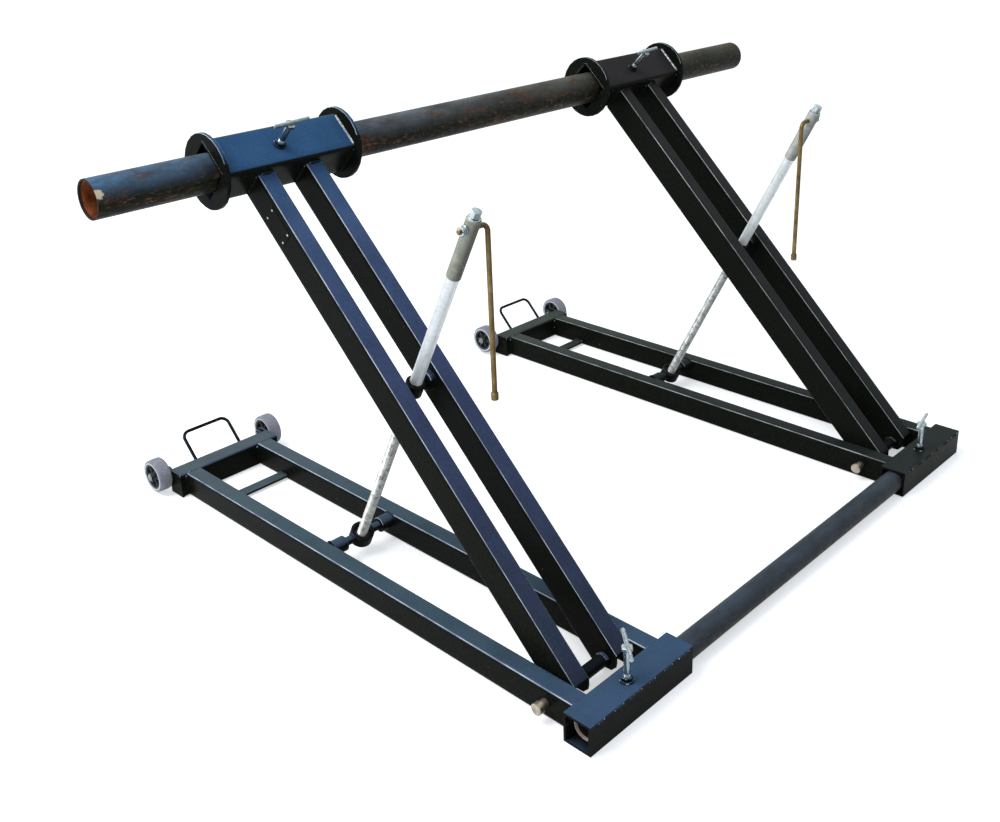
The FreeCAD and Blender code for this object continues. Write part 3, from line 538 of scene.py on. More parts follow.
def metal(name, metallic, patch, stops, rough, grain, depth, painted_shade="#8c8c8c"):
    """A metal finish: clouds of one patch size choose its colour and roughness, and a grain of another
    size roughens it. stops is the colour ramp; rough is the roughness of its two ends. Faces turned to
    LIT_SIDE, the way the lamp lights from, keep their colour; the colour of faces turned away from it
    is multiplied by painted_shade, as painted shade."""
    made, tree, shader, where = start_material(name, Metallic=metallic)
    clouds = add(tree, "TexNoise", "Fac", {"Vector": where, "Scale": 1 / patch, "Detail": 6.0,
                                           "Roughness": 0.6})
    colour = add(tree, "ValToRGB", "Color", {"Fac": clouds}, stops)
    facing = add(tree, "TexCoord", "Normal")
    # painted shade: how far each face turns away from the lamp's side
    toward_light = add(tree, "VectorMath", "Value", {0: facing, 1: LIT_SIDE}, operation="DOT_PRODUCT")
    shaded_share = add(tree, "MapRange", "Result", {"Value": toward_light, "From Min": 0.75, "From Max": -0.5})
    shaded_colour = add(tree, "Mix", 2, {0: shaded_share, 6: colour, 7: linear(painted_shade)}, data_type="RGBA",
                 blend_type="MULTIPLY")
    gloss = add(tree, "MapRange", "Result", {"Value": clouds, "From Min": 0.3, "From Max": 0.7,
                                             "To Min": rough[0], "To Max": rough[1]})
    fine = add(tree, "TexNoise", "Fac", {"Vector": where, "Scale": 1 / grain, "Detail": 3.0})
    coat(tree, shader, shaded_colour, gloss, fine, 0.15, depth)
    return made


def galvanised_tube():
    """Hot-dip galvanising: pale crystals about 6 mm wide, only just told apart, in a soft white."""
    made, tree, shader, where = start_material("galvanised_tube", Metallic=0.25)
    tone = add(tree, "SeparateColor", "Red", {
        "Color": add(tree, "TexVoronoi", "Color", {"Vector": where, "Scale": 1 / (6 * MM)})})
    cloud = add(tree, "TexNoise", "Fac", {"Vector": where, "Scale": 1 / (22 * MM), "Detail": 5.0})
    both = add(tree, "Math", "Value", {0: tone, 1: 0.35, 2: cloud}, operation="MULTIPLY_ADD")
    zinc = add(tree, "ValToRGB", "Color", {"Fac": both},
               [(0.3, "#ced3d2"), (0.6, "#dde2e1"), (0.9, "#e8ebeb")])
    soft = add(tree, "MapRange", "Result", {"Value": both, "From Min": 0.4, "From Max": 0.95,
                                            "To Min": 0.5, "To Max": 0.32})
    coat(tree, shader, zinc, soft, cloud, 0.15, 0.1 * MM)
    return made


# %% [markdown]
# The wheels are the kind that doesn't mark a floor: grey rubber cast on a dark moulded nylon hub.
# The rubber lip beside the hub is painted paler, as a painted highlight. The screw stands in red-brown
# grease.

# %% Rubber, nylon and grease
def grey_rubber(name, stops):
    """Non-marking rubber: violet grey with scuffs 9 mm wide and fine grit."""
    made, tree, shader, where = start_material(name, Specular_IOR_Level=0.3)
    scuffs = add(tree, "TexNoise", "Fac", {"Vector": where, "Scale": 1 / (9 * MM), "Detail": 6.0,
                                           "Roughness": 0.65})
    colour = add(tree, "ValToRGB", "Color", {"Fac": scuffs}, stops)
    dull = add(tree, "MapRange", "Result", {"Value": scuffs, "From Min": 0.3, "From Max": 0.7,
                                            "To Min": 0.75, "To Max": 0.55})
    grit = add(tree, "TexNoise", "Fac", {"Vector": where, "Scale": 1 / (0.9 * MM), "Detail": 3.0})
    coat(tree, shader, colour, dull, grit, 0.3, 0.25 * MM)
    return made


def moulded_nylon():
    """Moulded nylon: dark blue-grey, satin, with a fine spark-eroded grain."""
    made, tree, shader, where = start_material("moulded_nylon", Specular_IOR_Level=0.3)
    cloud = add(tree, "TexNoise", "Fac", {"Vector": where, "Scale": 1 / (7 * MM), "Detail": 4.0})
    nylon = add(tree, "ValToRGB", "Color", {"Fac": cloud}, [(0.3, "#26292b"), (0.7, "#3f4446")])
    satin = add(tree, "MapRange", "Result", {"Value": cloud, "From Min": 0.3, "From Max": 0.7,
                                             "To Min": 0.55, "To Max": 0.38})
    grain = add(tree, "TexNoise", "Fac", {"Vector": where, "Scale": 1 / (0.6 * MM), "Detail": 2.0})
    coat(tree, shader, nylon, satin, grain, 0.2, 0.15 * MM)
    return made


def red_grease():
    """Bearing grease: dark red-brown, wet, smeared in ridges."""
    made, tree, shader, where = start_material("red_grease", Specular_IOR_Level=0.6)
    smears = add(tree, "TexNoise", "Fac", {"Vector": where, "Scale": 1 / (8 * MM), "Detail": 5.0,
                                           "Roughness": 0.6})
    grease = add(tree, "ValToRGB", "Color", {"Fac": smears},
                 [(0.3, "#2a0f0b"), (0.6, "#5b2318"), (0.8, "#7c3a2a")])
    wet = add(tree, "MapRange", "Result", {"Value": smears, "From Min": 0.3, "From Max": 0.7,
                                           "To Min": 0.35, "To Max": 0.18})
    coat(tree, shader, grease, wet, smears, 0.8, 1.2 * MM)
    return made


# %% [markdown]
# Here is every finish of the real jacks, each named for what it is. A colour ramp holds its colours,
# matched to the photograph. One material with painted masks could hold them all, but separate ones
# are easier to find and to change.

# %% All the materials
# painted reflections of the sky: bluer on the left jack, greyer on the right one, and next to none on
# the bars
BLUE_SKY_SHEEN = ([(0.0, "#505c63"), (0.35, "#435760"), (0.8, "#3f5362"), (1.0, "#3d5470")],
             [(0.0, "#47526d"), (0.5, "#465275"), (0.8, "#465b7f"), (0.95, "#34577d")])
GREY_SKY_SHEEN = ([(0.0, "#3f4742"), (0.3, "#2e3734"), (0.8, "#252929"), (1.0, "#242c2a")],
             [(0.0, "#343737"), (1.0, "#312f30")])
DARK_SKY_SHEEN = ([(0.0, "#15191a"), (1.0, "#1b2022")], [(0.0, "#181d21"), (1.0, "#181d21")])
# a knock beside the spindle's near end, where the scale is off and pale steel shows
SCAR = (high("spindle_tube") + low("spindle_tube")) / 2 + [35 * MM, -996 * MM, 14 * MM]
# enamel: deep black on upright faces, a painted reflection of the sky on level ones, a painted
# highlight line on corners
ENAMEL = {"left": black_enamel("black_enamel_blue", *BLUE_SKY_SHEEN, "#bcc6d0"),
          "right": black_enamel("black_enamel_grey", *GREY_SKY_SHEEN, "#a9afae")}
BAR_ENAMEL = black_enamel("black_enamel_bar", *DARK_SKY_SHEEN, "#3a4246")
# mill scale: dark and grainy, with brown specks where rust comes through, and a painted reflection of
# the sky on top
SCALE = mill_scale("spindle_scale", "#0d0e0a", "#25241b",
                   [(0.0, "#4b6a88"), (0.33, "#5b636b"), (0.6, "#52544f"), (1.0, "#3a3f37")], 0.53,
                   SCAR)
TIE_SCALE = mill_scale("tie_scale", "#15181a", "#2b2d2e",
                       [(0.0, "#3c4653"), (1.0, "#414a50")], 0.68)
# rust: matt and crumbly, with next to no highlight
RUST = sawn_rust("orange_rust", "#5a2a14", "#a0562c", "#cc8048")
BROWN_RUST = sawn_rust("brown_rust", "#1d1712", "#33271c", "#4d3c29")
# sawn steel: a pale rim that draws the pipe's end as a thin ring
BARE = metal("sawn_steel", 0.3, 12 * MM, [(0.3, "#d9a496"), (0.5, "#f3ddd5"), (0.7, "#fbf3ef")],
             (0.5, 0.35), 0.8 * MM, 0.1 * MM, "#ffffff")
# zinc: cool and bright with sharp highlights when new, grey and soft when it has gone dull
ZINC = metal("bright_zinc", 1.0, 8 * MM, [(0.3, "#9fb0b5"), (0.7, "#d9e5e8")], (0.34, 0.2),
             0.9 * MM, 0.04 * MM, "#66716f")
DULL_ZINC = metal("dull_zinc", 0.9, 8 * MM, [(0.3, "#5f6766"), (0.7, "#8f9896")], (0.45, 0.3),
                  0.9 * MM, 0.05 * MM, "#7d8583")
# a weld without paint: silver ridges with dark hollows
WELD = metal("bright_weld", 0.6, 5 * MM, [(0.3, "#59626a"), (0.48, "#a9b1b6"), (0.62, "#e6eaec")],
             (0.5, 0.3), 1.2 * MM, 0.2 * MM)
# hot-dip zinc: a soft white, and pale metal with grey smears where grease lies on the thread
GALVANISED = galvanised_tube()
GREASED = metal("greased_thread", 0.7, 11 * MM,
                [(0.38, "#e2e5e4"), (0.5, "#cbcecc"), (0.62, "#9b9c98")], (0.42, 0.26), 2 * MM,
                0.3 * MM, "#a2a5a3")
# turned steel without a coat: an even dull grey, paler on the right jack
DULL = {"left": metal("dull_steel", 0.5, 14 * MM,
                      [(0.3, "#87897d"), (0.5, "#9c9e91"), (0.7, "#acaea1")], (0.6, 0.42),
                      1.4 * MM, 0.15 * MM, "#83837a"),
        "right": metal("pale_dull_steel", 0.5, 14 * MM,
                       [(0.3, "#a9aaa4"), (0.5, "#bcbdb8"), (0.7, "#cbccc8")], (0.6, 0.42),
                       1.4 * MM, 0.15 * MM, "#90908a")}
# chromate: a brown-gold film on the crank, and a paler one on the hinge pin
CHROMATE = metal("yellow_chromate", 0.85, 26 * MM,
                 [(0.3, "#5c4d2e"), (0.48, "#7c6941"), (0.6, "#8f7a52"), (0.75, "#a49274")],
                 (0.45, 0.3), 1.1 * MM, 0.1 * MM, "#8c7f66")
PALE_CHROMATE = metal("pale_chromate", 0.8, 9 * MM,
                      [(0.3, "#8f8676"), (0.5, "#b3a896"), (0.7, "#cfc5b5")], (0.42, 0.28),
                      1.1 * MM, 0.08 * MM, "#a09080")
# rubber and nylon: a matt grey tyre with a painted highlight on its lip, round a dark satin hub
RUBBER = grey_rubber("grey_rubber", [(0.3, "#767983"), (0.55, "#868993"), (0.75, "#999ba4")])
LIT_LIP_RUBBER = grey_rubber("clean_rubber", [(0.3, "#c4c7cd"), (0.55, "#d3d5da"), (0.75, "#dfe0e4")])
NYLON = moulded_nylon()
# grease: dark red-brown, and wet enough to glint
GREASE = red_grease()
print("made", len(bpy.data.materials), "materials")

# %% [markdown]
# Welds tell the eye that the jack is fabricated. A bead along a straight joint is a ripple tube; a
# bead round a pipe or a nut is the same tube bent to a ring.

# %% Weld rings, welded nuts and flat outlines
M12_FLATS = 19 * MM
NUT_BORE = 6.05 * MM


def weld_ring(centre, axis, radius, bead=2.6 * MM, ripple=4.0 * MM, seed=0):
    """A weld round a circle: a ring whose own radius swells once per ripple."""
    axis = np.asarray(axis, float)
    angle = np.linspace(0, 2 * np.pi, 72, endpoint=False)
    ripples = max(round(2 * np.pi * radius / ripple), 6)
    swell = 1 + 0.12 * np.abs(np.sin(ripples * angle / 2)) + 0.1 * np.sin(3 * angle + seed)
    out = ring_of(angle, axis)
    loop = circle_loop(bead, 8)[None] * swell[:, None, None]
    grid = (np.asarray(centre) + radius * out)[:, None] + loop[..., :1] * out[:, None]
    return shell(grid + loop[..., 1:] * axis, hollow=True)


def welded_nut(at, out, height):
    """The nut of a clamp and the weld round its foot."""
    return [hexagon(at, out, M12_FLATS, height, bore=NUT_BORE),
            weld_ring(at + out * MM, out, 10.4 * MM, 2.2 * MM)]


def slab(outline, centre, across, up, thickness, bevel=0.6 * MM, around=slice(None)):
    """A plate: its outline is carried through its thickness, and both rims are drawn in a little.
    around picks the outline points that the middle of each face lies between."""
    outline = np.asarray(outline, float)
    across, up = np.asarray(across, float), np.asarray(up, float)
    through = np.cross(across, up)
    middle = outline.mean(0)
    size = np.abs(outline - middle).max()
    inset = middle + (outline - middle) * (1 - bevel / size)
    offsets = np.array([-thickness / 2, -thickness / 2 + bevel, thickness / 2 - bevel, thickness / 2])
    stations = np.asarray(centre) + offsets[:, None] * through
    loops = np.stack([inset, outline, outline, inset])
    return shell(carried(stations, across, up, loops), around=around)


ANGLE_CORNER = [0, 1, 8]     # the outer corner of an angle bar and the middle of its root


def angle_outline(width, height, wall, root=3 * MM, steps=5):
    """Outline of an angle bar from its outer corner: two legs, with a quarter-circle root."""
    turn = np.linspace(0, np.pi / 2, steps)
    arc = np.stack([wall + root - root * np.sin(turn), wall + root - root * np.cos(turn)], -1)
    toe = 0.4 * MM
    return np.vstack([[(0, toe), (toe, 0), (width - toe, 0), (width, toe), (width, wall - 2 * toe),
                       (width - 2 * toe, wall)], arc,
                      [(wall, height - 2 * toe), (wall - 2 * toe, height), (toe, height),
                       (0, height - toe)]])


def with_material(material, *shells):
    """Each shell with the material that it is made of."""
    return [(points, faces, material) for points, faces in shells]


# %% [markdown]
# The floor frame of a jack is two rolled tubes, a rear tube closed by its end plates, a flat tie
# between the rails and a bent bar to carry it by. Rolled tube has round corners, and the soft line of
# light along each edge is what makes it read as steel tube and not as a block. That line is partly a
# real highlight on the round corner and partly a painted highlight in the enamel.

# %% Rails and rear tube
TUBE_CORNER = 6 * MM
TUBE_WALL = 3 * MM
RAIL_WIDTH = 40 * MM
CROSS_WIDTH = 50 * MM
LUG = 6 * MM
LUG_RADIUS = 13 * MM
BESIDE_NOSE = [2, 4, -2]     # their middle sees the whole outline of an end plate, round nose too


def middle_of(side):
    """Y of a jack's middle plane."""
    node = f"{side}_base_rails"
    return (low(node)[1] + high(node)[1]) / 2


def half_width(node):
    """Half of a CAD node's width along Y."""
    return (high(node)[1] - low(node)[1]) / 2


def rails(side):
    """The two tubes from the rear to the toe."""
    node, y = f"{side}_base_rails", middle_of(side)
    back, front, top = low(node)[0], high(node)[0], high(node)[2]
    tubes = []
    for sign in (-1, 1):
        at = y + sign * (half_width(node) - RAIL_WIDTH / 2)
        tubes.append(steel_tube((back, at, top / 2), (front, at, top / 2), Y, Z,
                                (RAIL_WIDTH, top), TUBE_CORNER, TUBE_WALL))
    piece(f"{side}_rails", f"{side}_base", with_material(ENAMEL[side], *tubes), [node])


def lug_outline(side):
    """An end plate from the side: a rectangle with a half circle about the wheel's axle."""
    node = f"{side}_base_rails"
    back, top = low(node)[0], high(node)[2]
    axle = place_of(f"{side}_near_wheel_spin")
    turn = np.linspace(np.pi / 2, 3 * np.pi / 2, 13)
    nose = axle[[0, 2]] + LUG_RADIUS * np.stack([np.cos(turn), np.sin(turn)], -1)
    corner = 1.5 * MM
    return np.vstack([[(back - corner, 0), (back, corner), (back, top - corner),
                       (back - corner, top), (back - CROSS_WIDTH, top)], nose,
                      [(back - CROSS_WIDTH, axle[2] - LUG_RADIUS), (back - CROSS_WIDTH, 0)]])


def rear_tube(side):
    """The tube across the rear, and the end plate with a wheel lug at each end of it."""
    node, y = f"{side}_rear_crossmember", middle_of(side)
    back, top = low(f"{side}_base_rails")[0], high(f"{side}_base_rails")[2]
    reach = high(node)[1] - y
    shells = [steel_tube((back - CROSS_WIDTH / 2, y - reach + LUG, top / 2),
                         (back - CROSS_WIDTH / 2, y + reach - LUG, top / 2), X, Z,
                         (CROSS_WIDTH, top), TUBE_CORNER, TUBE_WALL)]
    for sign in (-1, 1):
        shells.append(slab(lug_outline(side), (0, y + sign * (reach - LUG / 2), 0), X, Z, LUG,
                           around=BESIDE_NOSE))
    piece(f"{side}_rear_tube", f"{side}_base", with_material(ENAMEL[side], *shells), [node])


# %% [markdown]
# The tie strip is a flat bar between the rails, and the handle is a round bar with two bends. A bent
# bar could be a curve object with a bevel. Carrying a circle along a path that is worked out here
# keeps it a grid like every other piece, closed in the same way.

# %% Tie strip and carry handle
HANDLE_RADIUS = 4 * MM
HANDLE_BEND = 18 * MM


def tie_strip(side):
    """The flat bar between the rails."""
    node = f"{side}_rail_tie_strip"
    size = high(node) - low(node)
    centre = (low(node) + high(node)) / 2
    loop = rounded_loop(size[0], size[2], 1.0 * MM, 3)
    ends = [centre - Y * size[1] / 2, centre + Y * size[1] / 2]
    piece(f"{side}_tie_strip", f"{side}_base",
          with_material(ENAMEL[side], shell(carried(ends, X, Z, loop))), [node])


def carry_handle(side):
    """A bar bent to a U that leans back, with a weld round each foot."""
    node, y = f"{side}_carry_handle", middle_of(side)
    span = half_width(node) - HANDLE_RADIUS
    foot = np.array([high(node)[0], 0, low(node)[2] + 1.45 * HANDLE_RADIUS])
    head = np.array([low(node)[0] + HANDLE_RADIUS, 0, high(node)[2] - HANDLE_RADIUS])
    near, far = Y * (y - span), Y * (y + span)
    path = bent_path([foot + near, head + near, head + far, foot + far], HANDLE_BEND)
    lean = (head - foot) / np.linalg.norm(head - foot)
    welds = [weld_ring(foot + at, lean, HANDLE_RADIUS + 0.8 * MM, 1.8 * MM) for at in (near, far)]
    piece(f"{side}_handle", f"{side}_base", with_material(
        BAR_ENAMEL, round_bar(path, np.cross(Y, lean), HANDLE_RADIUS), *welds), [node])


# %% [markdown]
# Weld beads close the joints of the frame. They could be a bump in the paint, but a bump has no
# outline. A bead that is really there shows along the edge of a tube and casts its own small shadow.

# %% Welds of the floor frame
def frame_welds(side):
    """Beads where the rails meet the rear tube and the toe, and along the end plates and strip."""
    rails_node, strip, y = f"{side}_base_rails", f"{side}_rail_tie_strip", middle_of(side)
    back, front, top = low(rails_node)[0], high(rails_node)[0], high(rails_node)[2]
    half = half_width(rails_node)
    plate_in = high(f"{side}_rear_crossmember")[1] - y - LUG
    strip_low, strip_high = low(strip), high(strip)
    beads = []
    for sign in (-1, 1):
        for edge in (half, half - RAIL_WIDTH):
            at = y + sign * edge
            out = np.sign(at - y) * (1 if edge == half else -1)
            for end, wave in ((back, 90), (front, 70)):
                beads.append(weld_bead((end, at + out * MM, 5 * MM), (end, at + out * MM, 54 * MM),
                                       seed=at * wave))
        near, far = y + sign * (half - 5 * MM), y + sign * (half - RAIL_WIDTH + 5 * MM)
        beads.append(weld_bead((back, near, top - 2.2 * MM), (back, far, top - 2.2 * MM), seed=sign))
        beads.append(weld_bead((front, near, top - 1.5 * MM), (front, far, top - 1.5 * MM), 2 * MM,
                               seed=sign + 3))
        end_y = y + sign * plate_in
        beads.append(weld_bead((back - 8 * MM, end_y, top - MM),
                               (back - CROSS_WIDTH + 8 * MM, end_y, top - MM), 1.8 * MM, seed=sign))
        strip_y = y + sign * (strip_high[1] - strip_low[1]) / 2
        beads.append(weld_bead((strip_low[0], strip_y, strip_high[2]),
                               (strip_high[0], strip_y, strip_high[2]), 2.4 * MM, seed=sign + 7))
    piece(f"{side}_base_welds", f"{side}_base", with_material(ENAMEL[side], *beads))


# %% [markdown]
# The toe is a box made of two angle bars, stitched together with short welds. The tie tube slides in
# it and a bolt with a bar across its head holds the tube. The end of an angle bar is an L, and a fan
# of triangles over it has to start in the corner, or it would close the open mouth of the box.

# %% Toe box
def toe_box(side):
    """Upper and lower angle, weld nut, stitches."""
    node, body, y = f"{side}_toe_box", f"{side}_base", middle_of(side)
    start, end = low(node), high(node)
    top = high(f"{side}_base_rails")[2]
    wall = 5 * MM
    width, half = end[0] - start[0], (end[1] - start[1]) / 2
    upper = angle_outline(width, top, wall)
    lower = angle_outline(width - wall, top - wall, wall)
    ends = [(start[0], y - half, top), (start[0], y + half, top)]
    low_ends = [(end[0], y - half, 0), (end[0], y + half, 0)]
    shells = [shell(carried(ends, X, -Z, upper), around=ANGLE_CORNER),
              shell(carried(low_ends, -X, Z, lower), around=ANGLE_CORNER),
              *welded_nut(place_of(f"{side}_toe_clamp_turn"), Z, end[2] - top)]
    seam = []
    for number, share in enumerate(np.linspace(-0.8, 0.8, 6)):
        at = y + share * half
        run = (9 + 4 * (number % 3)) * MM
        shells.append(weld_bead((end[0] - 1.2 * MM, at - run, top - wall + 0.5 * MM),
                                (end[0] - 1.2 * MM, at + run, top - wall + 0.5 * MM), 3.6 * MM,
                                seed=number))
        seam.append(weld_bead((end[0] - 1.0 * MM, at + run - 4 * MM, top - wall + 1.5 * MM),
                              (end[0] - 1.0 * MM, at + run, top - wall + 1.8 * MM), 3.4 * MM,
                              seed=number))
        shells.append(weld_bead((start[0] + wall, at - 9 * MM, 1.6 * MM),
                                (start[0] + wall, at + 9 * MM, 1.6 * MM), 1.2 * MM, seed=number))
    piece(f"{side}_toe", body, with_material(ENAMEL[side], *shells) + with_material(WELD, *seam),
          [node])


# %% [markdown]
# A clamp is an ordinary bolt with a round bar welded across its head. The shank is one piece, which
# travels, and the head with its bar is the other, which turns.

# %% Clamps
CLAMP_RADIUS = 6 * MM
CLAMP_PITCH = 1.75 * MM
CLAMP_HEAD = 7.5 * MM
CLAMP_THREAD = 16 * MM       # how far the thread reaches above the welded nut's foot
BAR_SIZE = (85 * MM, 8 * MM)


def clamp(side, kind, out):
    """Shank, hexagon head and the bar across it; out is the way the bolt backs out. The shank is
    threaded up to CLAMP_THREAD and plain above it."""
    name = f"{side}_{kind}_clamp"
    place = place_of(f"{name}_turn")
    shank, handle = f"{name}_screw", f"{name}_handle"
    radius = CLAMP_RADIUS
    tilt = abs(out[0])
    lift = abs(out[2])
    bottom = (low(shank)[2] + radius * tilt - place[2]) / lift
    top = (high(shank)[2] - radius * tilt - place[2]) / lift
    plain = bevelled_rod(top - CLAMP_THREAD + 0.5 * MM, radius, 0.5 * MM)
    piece(f"{name}_shank", name, with_material(
        ZINC, threaded_rod(place + out * bottom, out, CLAMP_THREAD - bottom, radius, CLAMP_PITCH,
                           1.0 * MM, 24, 6),
        turned(plain, place + out * (CLAMP_THREAD - 0.5 * MM), out, 36)), [shank])
    length, thick = BAR_SIZE
    if kind == "toe":
        # the two sides of the bar's box are length and thickness mixed by the bar's turn
        box_sides = (high(handle) - low(handle))[:2]
        sine, cosine = np.linalg.solve([[length, thick], [thick, length]], box_sides)
        along = np.array([-sine, cosine, 0])
    else:
        along = Y + ARM_UP * np.tan(radians(3))
    along = along / np.linalg.norm(along)
    head_at = place + out * (top + 0.3 * MM)
    bar_at = head_at + out * (CLAMP_HEAD + thick / 2 - 0.5 * MM)
    ends = [bar_at - along * length / 2, bar_at + along * length / 2]
    beads = [weld_bead(bar_at - along * 8 * MM + side_way - out * 3.2 * MM,
                       bar_at + along * 8 * MM + side_way - out * 3.2 * MM, 1.5 * MM)
             for side_way in (np.cross(along, out) * 2.6 * MM, -np.cross(along, out) * 2.6 * MM)]
    piece(f"{name}_head", f"{name}_bar", with_material(
        ZINC, hexagon(head_at, out, M12_FLATS, CLAMP_HEAD, turn=0.3),
        round_bar(ends, np.cross(along, out), thick / 2, bevel=0.7 * MM), *beads), [handle])


# %% [markdown]
# The arm is two rolled tubes that butt against a square box. The box holds the spindle, and a round
# flange at each end of it keeps the cable drum off the welds.

# %% Lifting arm
ARM_SIZE = (40 * MM, 70 * MM)
BOX_SIDE = 90 * MM
BOX_WALL = 5 * MM
BOX_CORNER = 7 * MM
ARM_END = 24 * MM
ARM_TOP_CUT = 18 * MM
ARM_HEEL_CUT = 34 * MM
ARM_SPREAD = high("right_arm_tubes")[1] - middle_of("right")    # the right arm has no plate on it
PLATE_SIZE = (72 * MM, 38 * MM)
PLATE_REACH = 1012 * MM
FLANGE_THICKNESS = 8 * MM


def flange(centre, y_low, y_high, radius, bevel=0.8 * MM):
    """A disc with a square hole: each column runs from the hole's outline straight out to the rim."""
    hole = rounded_loop(BOX_SIDE, BOX_SIDE, BOX_CORNER, 6, 6)
    angle = np.arctan2(hole[:, 1], hole[:, 0])
    rim = radius * np.stack([np.cos(angle), np.sin(angle)], -1)
    worn = rim * (1 - bevel / radius)
    loops = np.stack([hole, worn, rim, rim, worn, hole])
    heights = [y_low, y_low, y_low + bevel, y_high - bevel, y_high, y_high]
    stations = [(centre[0], height, centre[2]) for height in heights]
    return shell(carried(stations, ARM_UP, ARM_OUT, loops), hollow=True)


def arm_end_cut(height):
    """How far each height of an arm's end is cut back; both corners are cut at 45 degrees."""
    top, heel = ARM_SIZE[1] / 2 - ARM_TOP_CUT, ARM_SIZE[1] / 2 - ARM_HEEL_CUT
    return -np.maximum(np.maximum(height - top, -height - heel), 0)


def box_centre(side):
    """The middle of the spindle box."""
    flanges = f"{side}_box_flanges"
    return (low(flanges) + high(flanges)) / 2


def arm_reach(side):
    """Distance along the arm from the hinge to the near face of the box."""
    return (box_centre(side) - place_of(f"{side}_arm_lift")) @ ARM_UP - BOX_SIDE / 2


def arm_line(side, sign):
    """The point on one arm tube's middle line that is beside the hinge."""
    return place_of(f"{side}_arm_lift") + Y * sign * (ARM_SPREAD - ARM_SIZE[0] / 2)


def bare_plate():
    """The plate on the left jack's near arm tube, and a domed rivet in each of its corners."""
    plate_at = place_of("left_arm_lift") + ARM_UP * PLATE_REACH + ARM_OUT * 2 * MM
    plate_at[1] = middle_of("left") - ARM_SPREAD - 0.5 * MM
    parts = with_material(BAR_ENAMEL, slab(rounded_loop(*PLATE_SIZE, 2 * MM, 4), plate_at,
                                           ARM_UP, ARM_OUT, 1.0 * MM, 0.3 * MM))
    dome = [(0, 2.5 * MM), (0.6 * MM, 2.4 * MM), (1.0 * MM, 1.8 * MM), (1.2 * MM, 0.8 * MM)]
    for along in (-1, 1):
        for up in (-1, 1):
            at = plate_at + ARM_UP * along * 30 * MM + ARM_OUT * up * 13 * MM
            at[1] = low("left_arm_tubes")[1] + 1.2 * MM
            parts += with_material(ZINC, turned(dome, at, -Y, 16))
    return parts


def arm_tubes(side):
    """The two tubes of the arm."""
    shells = [steel_tube(arm_line(side, sign) + ARM_UP * arm_reach(side),
                         arm_line(side, sign) - ARM_UP * ARM_END, Y, ARM_OUT, ARM_SIZE,
                         TUBE_CORNER, TUBE_WALL, trim=arm_end_cut) for sign in (-1, 1)]
    parts = with_material(ENAMEL[side], *shells)
    if side == "left":
        parts += bare_plate()
    piece(f"{side}_arms", f"{side}_arm", parts, [f"{side}_arm_tubes"])


def spindle_box(side):
    """The square tube round the spindle with its welded nut, and a flange at each end of it."""
    body, flanges, centre = f"{side}_arm", f"{side}_box_flanges", box_centre(side)
    half_box = half_width(flanges)
    ends = [centre - Y * half_box, centre + Y * half_box]
    piece(f"{side}_box", body, with_material(
        ENAMEL[side], steel_tube(*ends, ARM_UP, ARM_OUT, (BOX_SIDE, BOX_SIDE), BOX_CORNER, BOX_WALL),
        *welded_nut(place_of(f"{side}_box_clamp_turn"), ARM_OUT, 10 * MM)), [f"{side}_spindle_box"])
    radius = (high(flanges)[0] - low(flanges)[0]) / 2
    discs = [flange(centre, y_edge, y_edge + FLANGE_THICKNESS, radius)
             for y_edge in (low(flanges)[1], high(flanges)[1] - FLANGE_THICKNESS)]
    piece(f"{side}_flanges", body, with_material(ENAMEL[side], *discs), [flanges])


# %% [markdown]
# The arm tubes are welded to the box, and the box to its flanges. The beads are laid as on the frame.
# One of them, on top beside the far flange, is bright metal, so the welds have two materials.

# %% Welds of the arm
def arm_joint_beads(side):
    """Beads up the sides of the arm tubes' ends, and across their top and bottom edges."""
    y, beads = middle_of(side), []
    for sign in (-1, 1):
        foot = arm_line(side, sign) + ARM_UP * (arm_reach(side) - 0.5 * MM)
        for across, up in ((1, 1), (-1, 1), (-1, -1), (1, -1)):
            corner = foot + Y * across * ARM_SIZE[0] / 2 + ARM_OUT * up * (ARM_SIZE[1] / 2 - 6 * MM)
            if up > 0:
                beads.append(weld_bead(corner, corner - ARM_OUT * (ARM_SIZE[1] - 12 * MM),
                                       seed=across + sign * 3 + y))
            if across > 0:
                edge = foot + ARM_OUT * up * ARM_SIZE[1] / 2
                beads.append(weld_bead(edge - Y * 12 * MM, edge + Y * 12 * MM, seed=up + sign))
    return beads


def arm_welds(side):
    """All the beads of the arm. The one on top beside the far flange was left bright."""
    y, beads, bright_beads = middle_of(side), arm_joint_beads(side), []
    inside = half_width(f"{side}_box_flanges") - FLANGE_THICKNESS - 0.6 * MM
    side_half, run = BOX_SIDE / 2 + 0.4 * MM, BOX_SIDE / 2 - BOX_CORNER
    for sign in (-1, 1):
        at = box_centre(side) + Y * sign * inside
        for first, second in ((ARM_UP, ARM_OUT), (ARM_OUT, ARM_UP)):
            for way in (-1, 1):
                edge = at + first * way * side_half
                on_top = first is ARM_OUT and way == sign == 1
                bead = weld_bead(edge - second * run, edge + second * run,
                                 (2.6 if on_top else 3.2) * MM, seed=way + sign * 2 + y)
                (bright_beads if on_top else beads).append(bead)
    piece(f"{side}_arm_welds", f"{side}_arm",
          with_material(ENAMEL[side], *beads) + with_material(WELD, *bright_beads))


# %% [markdown]
# Between the arms are the two rings that hold the lift nut, and the sleeve that keeps the arms apart
# at the hinge. On the real jack these are turned or cut from pipe, so a profile of a few points spun
# round the axis makes each of them.

# %% Ring bosses and hinge sleeve
M18_FLATS = 27 * MM
RING_LENGTH = 10 * MM
SLEEVE_NUT = 8 * MM
PIN_BORE = 9.05 * MM


